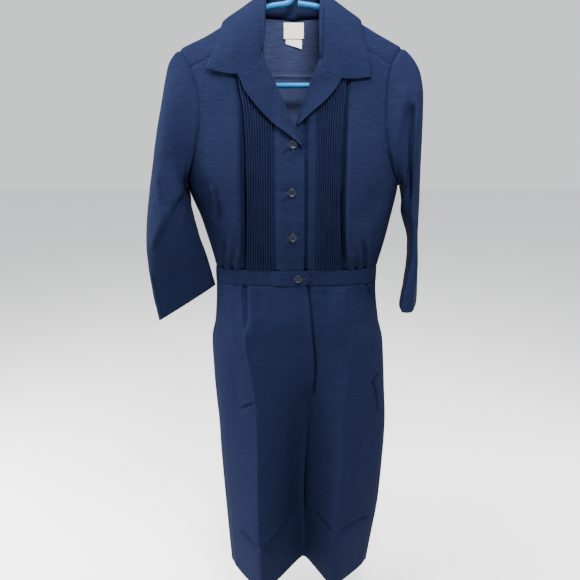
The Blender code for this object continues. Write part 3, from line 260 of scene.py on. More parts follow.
# The neck edge, by step from the front yoke seam over the shoulder to the centre of the back:
# x and the distance over the shoulder line.
NECK_RIGHT = Table("step x h", [
    (0, -52, -45.3), (1, -55, -26), (2, -58, -12), (3, -60, -6), (4, -61, 0), (5, -60.5, 5.5),
    (6, -59, 10), (8, -52, 24.5), (13, 0, 37.2),
])
NECK_LEFT = Table("step x h", [
    (0, 46, -45.3), (1, 51.5, -26), (2, 56, -12), (3, 59.5, -6), (4, 61, 0), (5, 60.5, 5.5),
    (6, 59, 10), (8, 52, 24.5), (13, 0, 37.2),
])

# Each sleeve by station: the outer and inner ends of its section, how far the section is turned
# about the vertical, how far its two faces stand out, and how much of the armhole's shape it keeps.
SLEEVE_RIGHT = Table("t out_x out_y out_z in_x in_y in_z turn front back keep", [
    (0, -197.5, 0, -165.5, -191, 0, -396, 0, 40, 30, 1),
    (1, -209.5, -1, -175.5, -195, -1, -396, 0, 42, 30, 0.8),
    (2, -218.5, -3, -192, -196.5, -3, -401, 0, 44, 30, 0.58),
    (3, -224.5, -6, -217, -196.5, -2, -408, 0, 46, 30, 0.36),
    (4, -230.5, -12, -252, -193.5, -2, -415, 0, 48, 31, 0.18),
    (5, -237.5, -20, -295, -189, -4, -424, 0, 47, 31, 0.06),
    (6, -245.5, -28, -345, -186.5, -9, -435, 0, 43, 30, 0),
    (7, -253.5, -35, -400, -182.5, -14, -449, 0, 38, 28, 0),
    (8, -260, -40, -455, -178, -17, -466, 0, 33, 25, 0),
    (9, -264, -40, -505, -172, -18, -488, 0, 26, 20, 0),
    (10, -265, -34, -550, -164.5, -12, -514, 0, 20, 18, 0),
    (11, -262.5, -22, -595, -157, -4, -545, 0, 15, 14, 0),
    (12, -257, -8, -652, -148, 4, -583.5, 0, 10, 10, 0),
])
SLEEVE_LEFT = Table("t out_x out_y out_z in_x in_y in_z turn front back keep", [
    (0, 186.5, 0, -162.5, 189, 0, -396, 0, 40, 30, 1),
    (1, 200, -1, -171, 193, -1, -396, 0, 42, 30, 0.8),
    (2, 213, -3, -187, 195, -3, -400.5, 0, 44, 30, 0.58),
    (3, 221.5, -6, -208, 196, -5, -407, 0, 44, 29, 0.36),
    (4, 226, -10, -240, 196, -6, -414, 3, 42, 28, 0.18),
    (5, 226.5, -16, -285, 196.5, -4, -422, 8, 38, 27, 0.06),
    (6, 226.5, -22, -340, 198.5, 4, -436, 18, 33, 25, 0),
    (7, 225, -30, -400, 206.5, 18, -458, 36, 26, 22, 0),
    (8, 220, -42, -458, 218, 34, -485, 60, 18, 18, 0),
    (9, 215, -50, -506, 226.5, 46, -513, 74, 14.5, 14.5, 0),
    (10, 211.5, -55, -552, 232, 53, -545, 79, 14.2, 14.2, 0),
    (11, 209.5, -58, -588, 234, 57, -576, 80, 14.5, 14.5, 0),
    (12, 208.5, -60, -621.5, 234, 60, -607, 80, 15.5, 15.5, 0),
])

# The collar by station, from its front end to the centre of the back. The stand has the seam at
# the neck, n, and the fold, r. The fall has a point that it bends by, k, and its outer edge, o.
STAND_RIGHT = Table("t nx ny nz rx ry rz", [
    (0, -53.5, -43.4, -166, -52, -50, -169), (1, -53, -39.5, -140, -50.5, -48, -140),
    (2, -54.5, -27.5, -112, -49.5, -40, -110), (3, -58.5, -6, -89.5, -48, -20, -86),
    (4, -58, 14, -94, -45, 6, -74), (5, -45, 21, -108, -34, 22, -71), (6, 0, 23.5, -114, 0, 30, -70),
])
FALL_RIGHT = Table("t kx ky kz ox oy oz", [
    (0, -62, -60, -230, -148, -42, -199), (1, -80, -54, -178, -140, -36, -180),
    (2, -84, -43, -130, -129, -27, -152), (3, -80, -20, -95, -118, -6, -120),
    (4, -80, 16, -84, -108, 26, -128), (5, -58, 44, -86, -78, 48, -142), (6, 0, 56, -86, 0, 56, -148),
])
STAND_LEFT = Table("t nx ny nz rx ry rz", [
    (0, 48, -46.6, -178, 44, -52.5, -181), (1, 48, -41.5, -148, 44, -50, -148),
    (2, 50, -28.5, -115, 45, -41, -114), (3, 57.5, -7, -90.5, 46, -21, -87),
    (4, 58, 14, -94, 44, 6, -74), (5, 45, 21, -108, 34, 22, -71), (6, 0, 23.5, -114, 0, 30, -70),
])
FALL_LEFT = Table("t kx ky kz ox oy oz", [
    (0, 48, -61, -230, 131, -44, -213), (1, 72, -55, -184, 127, -40, -188),
    (2, 78, -44, -136, 119, -30, -156), (3, 78, -21, -96, 112, -7, -118),
    (4, 79, 16, -84, 106, 26, -127), (5, 58, 44, -86, 78, 48, -142), (6, 0, 56, -86, 0, 56, -148),
])

# The lapels from the gorge to the tip: the roll line and the outer edge.
LAPEL_RIGHT = Table("t roll_x roll_z edge_x edge_z", [
    (0, -52, -171, -94.5, -212.5), (0.15, -45.5, -191, -90, -219), (0.35, -35, -214, -81.5, -237),
    (0.55, -24.5, -238, -62, -262), (0.75, -9.5, -272, -38.5, -286.5), (0.92, 7, -308, -2, -314),
    (1, 16.5, -327, 13.8, -327.8),
])
LAPEL_LEFT = Table("t roll_x roll_z edge_x edge_z", [
    (0, 43, -183, 81, -215.5), (0.25, 30, -214, 72.5, -230), (0.5, 21.5, -238, 54.5, -251.5),
    (0.75, 11.5, -268, 30, -272), (1, 4.5, -290, 7, -292),
])

# The buttons: number, x and z.
BUTTONS = [(1, -0.0010, -0.3245), (2, -0.0030, -0.4050), (3, -0.0010, -0.4830), (4, 0.0080, -0.5590)]

# The hanger's neck from the hook to the first arm, and where the second arm ends beside it.
HANGER_NECK = [
    (0.0110, -0.0430), (0.0035, -0.0510), (0.0, -0.0600),
    (0.0, -0.0720), (-0.0018, -0.0830), (-0.0075, -0.0893),
]
HANGER_NECK_END = (0.0070, -0.0905)

# The two sides of the bodice: name, sign of x, armhole, and the column of BODY at its side seam
SIDES = [("right", -1, ARMHOLE_RIGHT, "left"), ("left", 1, ARMHOLE_LEFT, "right")]

# Front and back: the depth's column of BODY, the skirt's ridges, how soft they are and where they end
FACES = {
    -1: ("front", SKIRT_FRONT, FRONT_RIDGE_SOFT, FRONT_SIDE_FADE),
    1: ("back", SKIRT_BACK, BACK_RIDGE_SOFT, BACK_SIDE_FADE),
}

# The camera stands where the photograph was taken from.
FOCAL_PIXELS = 600.0
PHOTO_WIDTH = 580
SENSOR = 36.0
CAMERA_DOWN = 13.8
CAMERA_PLACE = (-0.0065, -1.110, -0.321)
WORLD_COLOUR = (0.80, 0.81, 0.83, 1)
WORLD_STRENGTH = 1.25
FLOOR_COLOUR = (0.88, 0.885, 0.89)
CLOTH_COLOUR = (0.0043, 0.0064, 0.0200)
# The reverse face seen inside the neck is lighter than the navy cloth: painted light, standing in for light
# that reaches in there
REVERSE_PAINTED_LIGHT_COLOUR = (0.0180, 0.0235, 0.0540)

# Lights: name, place, aim, size, power and colour
LIGHTS = [
    ("near", (0.22, -0.80, 0.55), (0.05, 0.0, -0.12), (0.5, 0.3), 54.0, (1.0, 0.99, 0.97)),
    ("top", (-0.60, -0.45, 1.5), (0.0, 0.0, -0.5), (0.8, 0.5), 122.0, (1.0, 0.99, 0.97)),
    ("left", (-1.6, -0.05, -0.3), (0.0, 0.0, -0.7), (0.7, 1.2), 100.0, (1.0, 1.0, 1.0)),
    ("right", (1.5, 0.05, -0.5), (0.0, 0.0, -0.8), (0.9, 1.2), 22.0, (0.97, 0.98, 1.0)),
]

# Folds, in millimetres: the height of each, its width towards the left and the right of its
# line's own direction, the lengths over which its start and end fade, and the line in x and z.
FRONT_FOLDS = [
    (-5, 14, 16, 40, 30, [(150, -380), (136, -425), (122, -475)]),
    (-4, 12, 14, 40, 30, [(-150, -370), (-140, -420), (-128, -470)]),
    (5.3, 5, 3.5, 14, 16, [(-144.5, -390), (-139.5, -426), (-147.5, -462)]),
    (-3.5, 4, 4, 14, 16, [(-137, -395), (-132.5, -428), (-139, -462)]),
    (-4.4, 4, 4, 1, 24, [(-131, -546), (-127, -515), (-119, -484)]),
    (4, 3.6, 3.6, 1, 26, [(-122.5, -546), (-118, -512), (-110, -478)]),
    (-4, 3.4, 3.4, 1, 20, [(-113, -546), (-109.5, -520), (-104, -498)]),
    (2.9, 3, 3, 1, 16, [(-103.5, -546), (-101, -524), (-97, -503)]),
    (-2.9, 2.6, 2.6, 1, 14, [(-95.5, -546), (-93.5, -526), (-90.5, -510)]),
    (3.2, 3.4, 3.4, 1, 22, [(139, -546), (136, -515), (130, -484)]),
    (-4.2, 3.4, 3.4, 1, 22, [(131, -546), (127, -512), (121, -482)]),
    (3.5, 3, 3, 1, 18, [(123, -546), (120, -518), (115, -494)]),
    (-3.8, 3, 3, 1, 18, [(114, -546), (112, -516), (108, -490)]),
    (2.6, 2.6, 2.6, 1, 14, [(105, -546), (103, -524), (100, -506)]),
    (-2.6, 2.4, 2.4, 1, 12, [(97, -546), (96, -528), (94, -514)]),
]
BACK_FOLDS = [
    (1.5, 22, 16, 60, 80, [(-60, -215), (-66, -330), (-58, -470)]),
    (-1.3, 18, 22, 50, 90, [(22, -220), (30, -350), (24, -500)]),
    (1.6, 14, 20, 60, 60, [(96, -230), (104, -330), (94, -450)]),
    (-1.4, 7, 9, 24, 30, [(-150, -330), (-118, -372), (-92, -424)]),
    (1.3, 8, 7, 24, 34, [(150, -322), (126, -368), (104, -412)]),
]
SKIRT_FOLDS = [
    (-6.8, 7, 2, 2, 40, [(-91, -574), (-90, -617), (-88, -668)]),
    (1.2, 2, 6, 2, 30, [(-95, -574), (-94, -617), (-92, -660)]),
    (1.8, 3.2, 2.4, 14, 40, [(-88, -650), (-90, -679), (-82.4, -723), (-72, -775), (-69, -812)]),
    (1.3, 2.4, 2.4, 24, 8, [(-69, -800), (-67.8, -930), (-67.6, -1047), (-61, -1116), (-60, -1183)]),
    (1.6, 3, 3.4, 24, 40, [(112, -640), (104, -720), (93.7, -815), (93.9, -900)]),
    (1.3, 2.4, 2.4, 24, 8, [(94, -880), (92, -1000), (82, -1052), (77.4, -1135), (77, -1183)]),
    (3, 3, 2.6, 12, 10, [(-112, -1067), (-86, -1071), (-62, -1083)]),
    (-4, 3, 10, 12, 10, [(-110, -1076), (-85, -1081), (-62, -1092)]),
    (3.2, 3, 2.6, 8, 20, [(-62, -1083), (-31, -1068), (0, -1052)]),
    (-5, 3, 14, 8, 20, [(-60, -1094), (-28, -1080), (2, -1066)]),
    (2.2, 2.6, 2.6, 8, 8, [(46, -1040), (66, -1050), (82, -1058)]),
    (-2.8, 3, 10, 8, 8, [(44, -1052), (64, -1062), (81, -1069)]),
    (3, 2.8, 2.8, 8, 14, [(82, -1056), (100, -1050), (122, -1046), (160, -1053)]),
    (-3.8, 3, 8, 8, 14, [(84, -1067), (102, -1060), (124, -1056), (158, -1062)]),
    (-3, 2, 3.4, 8, 10, [(-72, -796), (-88, -804), (-102, -816)]),
    (1.6, 2.6, 2.6, 8, 10, [(-72, -789), (-88, -797), (-102, -808)]),
    (-4.6, 2.2, 2.4, 1, 12, [(134.7, -574), (143, -592), (151.5, -612)]),
    (1.6, 3, 3, 1, 12, [(140, -574), (148, -592), (156, -610)]),
    (-4.6, 2, 2, 5, 4, [(166, -750), (150, -766)]),
    (1.5, 3, 2, 5, 4, [(168, -756), (154, -770)]),
    (-5, 2, 2, 3, 14, [(150, -764), (157, -783), (162, -802), (164, -834)]),
    (1.6, 2, 3, 3, 14, [(146, -765), (153, -785), (158, -805), (160, -834)]),
    (-9.5, 8, 28, 90, 60, [(26, -740), (22, -847), (19, -942), (16, -1100)]),
    (-1.6, 3.2, 4.4, 60, 60, [(37, -690), (40, -740), (36, -800)]),
    (1.4, 12, 10, 20, 40, [(72, -586), (78, -616), (80, -650)]),
    (-1.5, 8, 10, 10, 40, [(52, -580), (54, -620), (58, -664)]),
    (1.2, 7, 7, 6, 30, [(-44, -576), (-46, -606), (-50, -640)]),
    (-1.1, 6, 6, 6, 30, [(-60, -576), (-62, -604), (-66, -634)]),
    (-1.5, 7, 6, 6, 40, [(118, -578), (124, -610), (130, -656)]),
    (1, 5, 5, 10, 16, [(-120, -590), (-116, -640), (-110, -690)]),
    (-1.2, 10, 8, 40, 60, [(-112, -700), (-104, -790), (-104, -880)]),
    (1.2, 10, 9, 40, 80, [(126, -830), (130, -920), (122, -1010)]),
    (-1.2, 8, 9, 40, 60, [(112, -860), (112, -940), (104, -1020)]),
]
SKIRT_BACK_FOLDS = [
    (-1.8, 3, 5, 2, 60, [(-74, -574), (-76, -640), (-79, -700)]),
    (-1.8, 5, 3, 2, 56, [(82, -574), (85, -636), (90, -696)]),
    (1.2, 18, 14, 60, 60, [(-10, -620), (-4, -760), (4, -900)]),
    (1.1, 3, 3, 16, 18, [(-118, -1058), (-60, -1066), (-8, -1054)]),
    (-1.1, 3.6, 3.6, 16, 18, [(-116, -1067), (-60, -1075), (-8, -1063)]),
    (1, 3, 3, 16, 18, [(40, -1050), (96, -1058), (150, -1046)]),
    (-1, 3.4, 3.4, 16, 18, [(40, -1059), (96, -1067), (150, -1055)]),
]
PLACKET_FOLDS = [
    (1.5, 2.4, 2.4, 3, 9, [(-6, -327), (-13, -331), (-22, -339)]),
    (-1.5, 2.4, 2.4, 3, 9, [(-6, -331), (-12, -336), (-20, -345)]),
    (1.5, 2.2, 2.2, 3, 8, [(-8, -407), (-15, -411), (-24, -420)]),
    (-1.4, 2.2, 2.2, 3, 8, [(-8, -402), (-16, -403), (-26, -400)]),
    (1.4, 2.2, 2.2, 3, 8, [(-6, -486), (-13, -491), (-21, -500)]),
    (-1.4, 2.2, 2.2, 3, 8, [(6, -482), (11, -476), (14, -468)]),
]
COLLAR_FOLDS = [
    (1, 7, 7, 10, 14, [(-92, -150), (-104, -172), (-112, -190)]),
    (-0.9, 6, 8, 10, 14, [(82, -150), (92, -176), (98, -196)]),
]
# The sleeves' folds lie in millimetres round the sleeve, of 300 in all, and down it.
SLEEVE_RIGHT_FOLDS = [
    (-4.6, 2.2, 7, 20, 14, [(134, 54), (124, 81), (88, 162), (77, 191), (64, 217), (43, 237)]),
    (-1.2, 1.6, 1.6, 14, 8, [(44, 128), (51, 142), (60, 162), (70, 182)]),
    (2.8, 10, 26, 26, 20, [(128, 48), (118, 75), (82, 157), (72, 186), (59, 212), (38, 232)]),
    (-3.2, 12, 7, 24, 26, [(140, 66), (130, 92), (96, 170), (86, 200), (74, 226), (56, 250)]),
    (2, 4, 6, 14, 10, [(44, 128), (50, 140), (59, 160), (70, 182)]),
    (-1.8, 5, 5, 14, 10, [(56, 124), (62, 138), (70, 154), (78, 170)]),
    (1.6, 9, 9, 40, 40, [(96, 226), (100, 270), (98, 330)]),
    (-1.4, 8, 10, 30, 40, [(70, 262), (74, 300), (70, 350)]),
    (1.2, 2.2, 2.2, 20, 1, [(24, 262), (25, 300), (27, 360)]),
    (-1.2, 2.2, 2.2, 20, 1, [(30, 262), (31, 300), (33, 360)]),
    (1.5, 16, 16, 40, 40, [(60, 20), (64, 70), (60, 120)]),
    (-1.5, 12, 14, 30, 40, [(96, 10), (98, 50), (92, 96)]),
    (1.8, 12, 12, 40, 50, [(210, 60), (220, 150), (214, 250)]),
    (-1.6, 10, 12, 40, 50, [(240, 90), (250, 180), (244, 280)]),
    (-1.8, 9, 6, 20, 30, [(176, 140), (200, 170), (236, 190)]),
]
SLEEVE_LEFT_FOLDS = [
    (3, 5, 12, 8, 14, [(40, 24), (56, 24), (72, 23), (91, 17), (119, 4)]),
    (-13, 5, 19, 10, 30, [(47, 42), (60, 47), (70, 62), (72, 107), (55, 150), (47, 190)]),
    (2.6, 6, 4, 24, 30, [(54, 80), (48, 130), (40, 174), (34, 214)]),
    (-4, 9, 12, 24, 30, [(118, 60), (112, 115), (98, 175)]),
    (2, 3, 3, 30, 1, [(36, 200), (30, 260), (26, 352)]),
    (-2.4, 4, 6, 30, 1, [(50, 200), (44, 260), (40, 352)]),
    (1.4, 6, 6, 30, 20, [(92, 220), (84, 270), (78, 330)]),
    (1.8, 12, 12, 40, 50, [(210, 60), (220, 150), (214, 250)]),
    (-1.6, 10, 12, 40, 50, [(240, 90), (250, 180), (244, 280)]),
]
# The left forearm, in millimetres: the place down the sleeve, how far its inner side is drawn in,
# and how far all of it leans towards the body.
FOREARM_LEFT = [
    (110, 0.0, 0.0),
    (150, 3.0, 2.5),
    (190, 9.5, 5.5),
    (225, 14.5, 6.5),
    (260, 13.0, 5.0),
    (290, 7.0, 2.5),
    (315, 1.5, 0.5),
    (335, -2.5, 0.0),
    (352, -4.5, 0.0),
]
# Its front edge is pressed flat towards the cuff: how far back, in metres, and from where, in mm
PRESSED_REACH = 0.015
PRESSED_FROM = 200
PRESSED_FADE = 90
PRESSED_SHARE = 0.92

# Each sheet of cloth: the width, length and area of the cut that shows, and what holds it.
SHEETS = {
    "yoke": (0.40, 0.21, 0.056, "hanger"),
    "bodice_front_right": (0.17, 0.40, 0.051, "yoke"),
    "bodice_front_left": (0.17, 0.40, 0.051, "yoke"),
    "tuck_panel_right": (0.115, 0.39, 0.043, "yoke"),
    "tuck_panel_left": (0.115, 0.38, 0.042, "yoke"),
    "placket_right": (0.100, 0.345, 0.031, "tuck_panel_right"),
    "placket_left": (0.105, 0.345, 0.031, "tuck_panel_left"),
    "bodice_back": (0.40, 0.37, 0.136, "yoke"),
    "sleeve_right": (0.38, 0.50, 0.104, "yoke"),
    "sleeve_left": (0.38, 0.50, 0.104, "yoke"),
    "waistband": (0.735, 0.030, 0.0220, "bodice_back"),
    "skirt_front_right": (0.30, 0.65, 0.170, "waistband"),
    "skirt_front_left": (0.25, 0.65, 0.139, "waistband"),
    "skirt_back": (0.42, 0.65, 0.248, "waistband"),
    "collar": (0.56, 0.150, 0.050, "yoke"),
    "lapel_right": (0.075, 0.170, 0.0056, "placket_right"),
    "lapel_left": (0.060, 0.130, 0.0035, "placket_left"),
    "neck_label": (0.035, 0.0255, 0.00089, "yoke"),
    "care_label": (0.0285, 0.0375, 0.00096, "neck_label"),
}

# Turned edges, in metres
EDGE = 0.0004
HEM_LAYER = 2.0
SIDE_LAYER = 2.6
HEM_ROWS = 6
HEM_BEND = 5
HEM_TURN = 0.030
CUFF_TURN = 0.024
FACING = 0.034
ALLOWANCE = 0.010
LAP_TURN = 0.026
UNDER_TURN = 0.012
REVERSE_DEEP = 3 * EDGE

# Seams: where a side seam starts to close, its reach, and the roll and puckers beside a seam
SEAM_START = 0.012
SEAM_REACH = 0.009
ROLL_AWAY = 0.0065
ROLL_WIDE = 0.0035
RIPPLE_DEEP = 0.00022
RIPPLE_PITCH = 0.011
RIPPLE_REACH = 0.007
CUFF_STITCH = 0.0005

# The trough beside the tucks
TROUGH_DEEP = 0.0100
TROUGH_WIDE = 0.0060
TROUGH_EDGE = 0.004
TROUGH_TOP = -0.190
TROUGH_FADE = 0.05
TROUGH_END = WAIST_TOP - 0.02
TROUGH_END_FADE = 0.03

# The tucks: places across one tuck with their heights, the last height, and how much they sway
TUCK_DEEP = 0.0019
TUCK_SWAY = 0.00022
TUCK_PROFILE = [
    (0.00, -1.00), (0.10, -0.85), (0.21, 0.65), (0.31, 1.00),
    (0.46, 1.05), (0.60, 0.80), (0.71, -0.45), (0.86, -1.00),
]
TUCK_LAST = -0.95

# The dips of the left front beside the placket and beside the skirt's lap, and the lap's edge
UNDER_DEEP = 0.0068
UNDER_AWAY = 0.0022
UNDER_WIDE = 0.0030
DIP_DEEP = 0.0042
DIP_AWAY = 0.0014
DIP_WIDE = 0.0026
LAP_SPREAD = 0.060
LAP_FROM = 0.026
LAP_TURNED = 0.0005
LAP_NARROW = 0.004

# Gathers of the back, the waistband's edges, the skirt's hip, and a sleeve's way round in folds
BACK_GATHERS = 0.09
GATHER_DEEP = 0.0011
BAND_OVER = 0.0004
BAND_ROUND = 0.0006
BAND_RIM = -0.0002
BAND_INSIDE = -0.0010
BAND_CURL = 0.0002
BAND_CLEAR = 0.0002
SKIRT_HIP = -0.660
ROUND = 300

# Collar and lapels
COLLAR_FRONT = 0.005
FACE_SHARE = 0.85
RIM_SHARES = (0.25, 0.72, 0.92, 1.0)
GORGE_SEAM = 0.0004
GORGE_RISE = 0.30
LAPEL_THICK = 0.0015

# A button's profile as shares of its radius and thickness, how each is turned, and its thread
BUTTON_PROFILE = [
    (0.14, 0.50), (0.30, 0.50), (0.48, 0.53), (0.56, 0.60), (0.62, 0.78), (0.69, 0.93), (0.78, 1.00),
    (0.88, 0.98), (0.96, 0.86), (1.00, 0.66), (0.99, 0.40), (0.93, 0.14), (0.82, 0.02), (0.30, 0.0),
]
BUTTON_STEPS = 56
BUTTON_TURNS = (0.10, -0.06, 0.22, 1.45)
HOLE_RADIUS = 0.00075
HOLE_AWAY = 0.00165
STRANDS = (-0.00042, -0.00014, 0.00014, 0.00042)
STRAND_HIGH = 0.00055
HOLE_SEAT = 0.52
STRAND_SEAT = 0.50
HOLE_RIM = 0.00022
THREAD_RADIUS = 0.00016

# Buttonholes: half the slit's length, its bars, its width, its stitches, and its place on the band
SLIT_HALF = 0.0105
SLIT_END = 0.0106
SLIT_WIDE = 0.00075
STITCH_HIGH = 0.00035
BAR_HALF = 0.0012
SLIT_SHIFT = 0.0035
STITCH_RADIUS = 0.00028
STITCH_PROUD = 0.0004

# Labels: name, left, right, top, lower left and right corner, distance off, and phase of the curl
LABELS = [
    ("neck_label", -0.0175, 0.0175, -0.1185, -0.1440, -0.1440, 0.0016, 3),
    ("care_label", -0.0140, 0.0145, -0.1230, -0.1520, -0.1605, 0.0008, 4),
]
LABEL_THICK = 0.00035
LABEL_CURL = 0.0007
LABEL_CLEAR = 0.0003

# Cloth: where the two shades lie, the slubs' stretch and share, and the threads' directions
RAMP_PLACES = (0.30, 0.70)
SLUB_SCALE = (60.0, 60.0, 620.0)
SLUB_SHARE = 0.55
THREADS = (("X", 0.00062), ("Z", 0.00070))

# Floor, and steps along and across
FLOOR = -1.300
FLOOR_REACH = 12.0
FOLD_REACH = 2.6
FINE = 160
HOOK_STEPS = 60
END_STEPS = 28
ARM_STEPS = 30
END_INSET = 0.008
WIDEST = 0.21


# Curves and forms of the part


def ease(t):
    """0 to 1 with a level start and end."""
    t = np.clip(t, 0.0, 1.0)
    return t * t * (3 - 2 * t)


def bell(distance, width):
    """1 on a line, falling softly to 0 on both sides of it."""
    return np.exp(-((distance / width) ** 2))


def lengths(path):
    """The distance along a line of points, from 0."""
    return np.concatenate([[0], np.cumsum(np.linalg.norm(np.diff(path, axis=0), axis=1))])


def even(count):
    return np.linspace(0, 1, count + 1)


def unit(v):
    return v / np.maximum(np.linalg.norm(v, axis=-1, keepdims=True), 1e-12)


def peak(x, left, top, right, soft):
    """A line from 0 at left up to 1 at top and down to 0 at right, with rounded corners."""

    def bend(at, change):
        return change * 0.5 * ((x - at) + np.sqrt((x - at) ** 2 + soft**2))

    up, down = 1 / (top - left), 1 / (right - top)
    return np.clip(bend(left, up) - bend(top, up + down) + bend(right, down), 0.0, None)


def centre_and_half(z):
    left, right = BODY.at("left", z), BODY.at("right", z)
    return (left + right) / 2, (right - left) / 2


def over_ridge(drop, full):
    """The depth at a drop below the shoulder line: round over the tube, then falling clear."""
    near = np.clip(1 - drop / RIDGE_RADIUS, 0.0, 1.0)
    clear = 1 - np.exp(-np.clip(drop, 0.0, None) / RIDGE_SPREAD)
    return RIDGE_RADIUS * np.sqrt(1 - near**2) + (full - RIDGE_RADIUS) * clear


def puff(x, z):
    """The fullness of the outer fronts beside the tucked panels, gathered into the waistband."""
    out = 0.0
    centre, half = centre_and_half(z)
    tall = ease((z - WAIST_TOP) / PUFF_LOW) * ease((PUFF_TOP - z) / PUFF_HIGH)
    for name, side, _, _ in SIDES:
        beside = side * (x - TUCK_EDGE.at(name, z))
        rise = ease(beside / PUFF_RISE) * ease((half - side * (x - centre)) / PUFF_SIDE)
        gather = GATHER_SHARE * np.sin(2 * math.pi * beside / GATHER_PITCH)
        out = out + PUFF * rise * tall * (1 + gather * ease((GATHER_TOP - z) / GATHER_FADE))
    return out


def pleat(x, z):
    """A short released pleat under the waistband on each side of the skirt's front."""
    out = 0.0
    tall = ease((WAIST_BOTTOM - z) / PLEAT_RISE) * ease((z - PLEAT_END) / PLEAT_FADE)
    for at, side in PLEATS:
        beside = side * (x - at)
        step = ease((beside + PLEAT_BEFORE) / PLEAT_STEP) * ease((PLEAT_WIDTH - beside) / PLEAT_WIDTH)
        out = out + PLEAT_OUT * step * tall
    return out


def ridges(table, x, z, left, right, soft):
    """The two ridges of one side of the skirt, less the valley between them."""
    right_x, valley_x, left_x = [table.at(name, z) for name in ("right_x", "valley_x", "left_x")]
    a = peak(x, left, right_x, valley_x, soft) * table.at("right_out", z)
    b = peak(x, valley_x, left_x, right, soft) * table.at("left_out", z)
    return a + b - peak(x, right_x, valley_x, left_x, soft) * table.at("valley_in", z)


def depth_of(side, x, z):
    """How far the front of the dress, side -1, or its back, side 1, stands out from y = 0."""
    face, table, soft, fade = FACES[side]
    centre, half = centre_and_half(z)
    s = np.clip(np.abs((x - centre) / half), 0.0, 1.0)
    round_side = (1 - s**SIDE_POWER) ** (1 / SIDE_POWER)
    depth = over_ridge(SHOULDER.at("z", x) - z, BODY.at(face, z) * round_side)
    if side < 0:
        depth = depth + puff(x, z) + pleat(x, z)
    fold = ridges(table, x, z, centre - half, centre + half, soft)
    return depth + np.where(z < WAIST_BOTTOM, 1.0, 0.0) * fold * ease((1 - s) / fade)


def on_body(side, x, z):
    """Points on the dress, on its front for side -1 and its back for side 1."""
    x, z = np.broadcast_arrays(np.asarray(x, float), np.asarray(z, float))
    return np.stack([x, side * (depth_of(side, x, z) + HALF_GAP), z], axis=-1)


def grid_normals(points, side, round_the_columns=False):
    """The outward normals of a grid whose rows run down and whose columns run across."""
    if round_the_columns:
        across = np.roll(points, -1, axis=1) - np.roll(points, 1, axis=1)
    else:
        across = np.gradient(points, axis=1)
    return unit(np.cross(across, np.gradient(points, axis=0))) * side


def spread_columns(side, z, breaks, shares):
    """x across one row: each stretch between two breaks is shared out along the cloth."""
    xs = [[float(breaks[0])]]
    for start, end, share in zip(breaks[:-1], breaks[1:], shares):
        fine = start + (end - start) * even(FINE)
        along = lengths(on_body(side, fine, z))
        xs.append(np.interp(share * along[-1], along, fine)[1:])
    return np.concatenate(xs)


def level(height):
    """An edge at one x or one height."""
    return lambda at: np.full(np.shape(at), height)


def edge_of(table, column, shift=0.0):
    """An edge that follows one column of a table."""
    return lambda z: float(table.at(column, z)) + shift


def side_edge(armhole, face, limit):
    """The outer edge of a bodice panel: the armhole, and the side seam below it."""
    return lambda z: float(np.where(z > UNDERARM, armhole.at(face, z), BODY.at(limit, z)))


def body_grid(side, top, levels, edges, shares):
    """x and z of a panel's points. edges are functions of height, and top is one of x.

    levels lists (height, rows down to it), and the first row follows the top edge.
    """
    highest = float(np.max(top(np.linspace(-WIDEST, WIDEST, LEVELS + 1))))
    heights = np.linspace(highest, levels[-1][0], LEVELS)
    across = np.array([spread_columns(side, z, [edge(z) for edge in edges], shares) for z in heights])

    def x_at(z):
        return np.array([np.interp(-z[j], -heights, across[:, j]) for j in range(len(z))])

    z_top = np.full(across.shape[1], float(levels[0][0]))
    for _ in range(PASSES):
        z_top = top(x_at(z_top))
    rows = [z_top]
    for height, count in levels:
        start = rows[-1]
        rows += [start + (height - start) * share for share in even(count)[1:]]
    return np.array([x_at(row) for row in rows]), np.array(rows)


def ridge_height(x, h):
    """The height at a distance h over the shoulder line, in front of it where h is negative."""
    turn = np.clip(np.abs(h) / RIDGE_RADIUS, 0.0, math.pi / 2)
    beyond = np.clip(np.abs(h) - RIDGE_RADIUS * math.pi / 2, 0.0, None)
    return SHOULDER.at("z", x) - RIDGE_RADIUS * (1 - np.cos(turn)) - beyond


def ridge_distance(drop):
    """The distance over the shoulder line of a point that lies a drop below it."""
    turn = np.arccos(np.clip(1 - drop / RIDGE_RADIUS, -1.0, 1.0))
    straight = drop + RIDGE_RADIUS * (math.pi / 2 - 1)
    return np.where(drop > RIDGE_RADIUS, straight, turn * RIDGE_RADIUS)


def distance_at(x, z):
    """The same for a point that is given by its x and its height."""
    return float(ridge_distance(float(SHOULDER.at("z", x)) - z))


def over_point(x, h):
    z = ridge_height(x, h)
    depth = np.where(h < 0, -depth_of(-1, x, z), depth_of(1, x, z))
    return np.stack(np.broadcast_arrays(x, depth, z), axis=-1)


def over_normal(x, h):
    step = RIDGE_RADIUS / 8
    along = over_point(x + step, h) - over_point(x - step, h)
    return unit(np.cross(along, over_point(x, h + step) - over_point(x, h - step)))


def rim_point(armhole, h):
    """x where the armhole's seam crosses a distance h over the shoulder line."""
    x = float(armhole.at("front", BACK_YOKE))
    for _ in range(RIM_PASSES):
        x = float(armhole.at("front" if h < 0 else "back", float(ridge_height(x, h))))
    return x


def placket_lift(x):
    """The right front lies over the left one, beside the straight edge of its tucks."""
    return LAP_LIFT * ease((x - TUCK_INNER_RIGHT) / LAP_RISE)


def elbow_fold(points):
    """How far the front of the right sleeve stands out at the sharp slanting fold of its elbow."""
    start, end = np.array(ELBOW_START), np.array(ELBOW_END)
    length = np.linalg.norm(end - start)
    line = (end - start) / length
    place = points[:, [0, 2]] - start
    along = place @ line
    off = place @ np.array([line[1], -line[0]])
    roof = np.clip(1 - np.abs(off) / np.where(off < 0, ELBOW_BELOW, ELBOW_ABOVE), 0.0, 1.0)
    fade = ease(along / ELBOW_FADE) * ease((length - along) / ELBOW_FADE + ELBOW_LEFT_OVER)
    return ELBOW_RISE * roof * fade


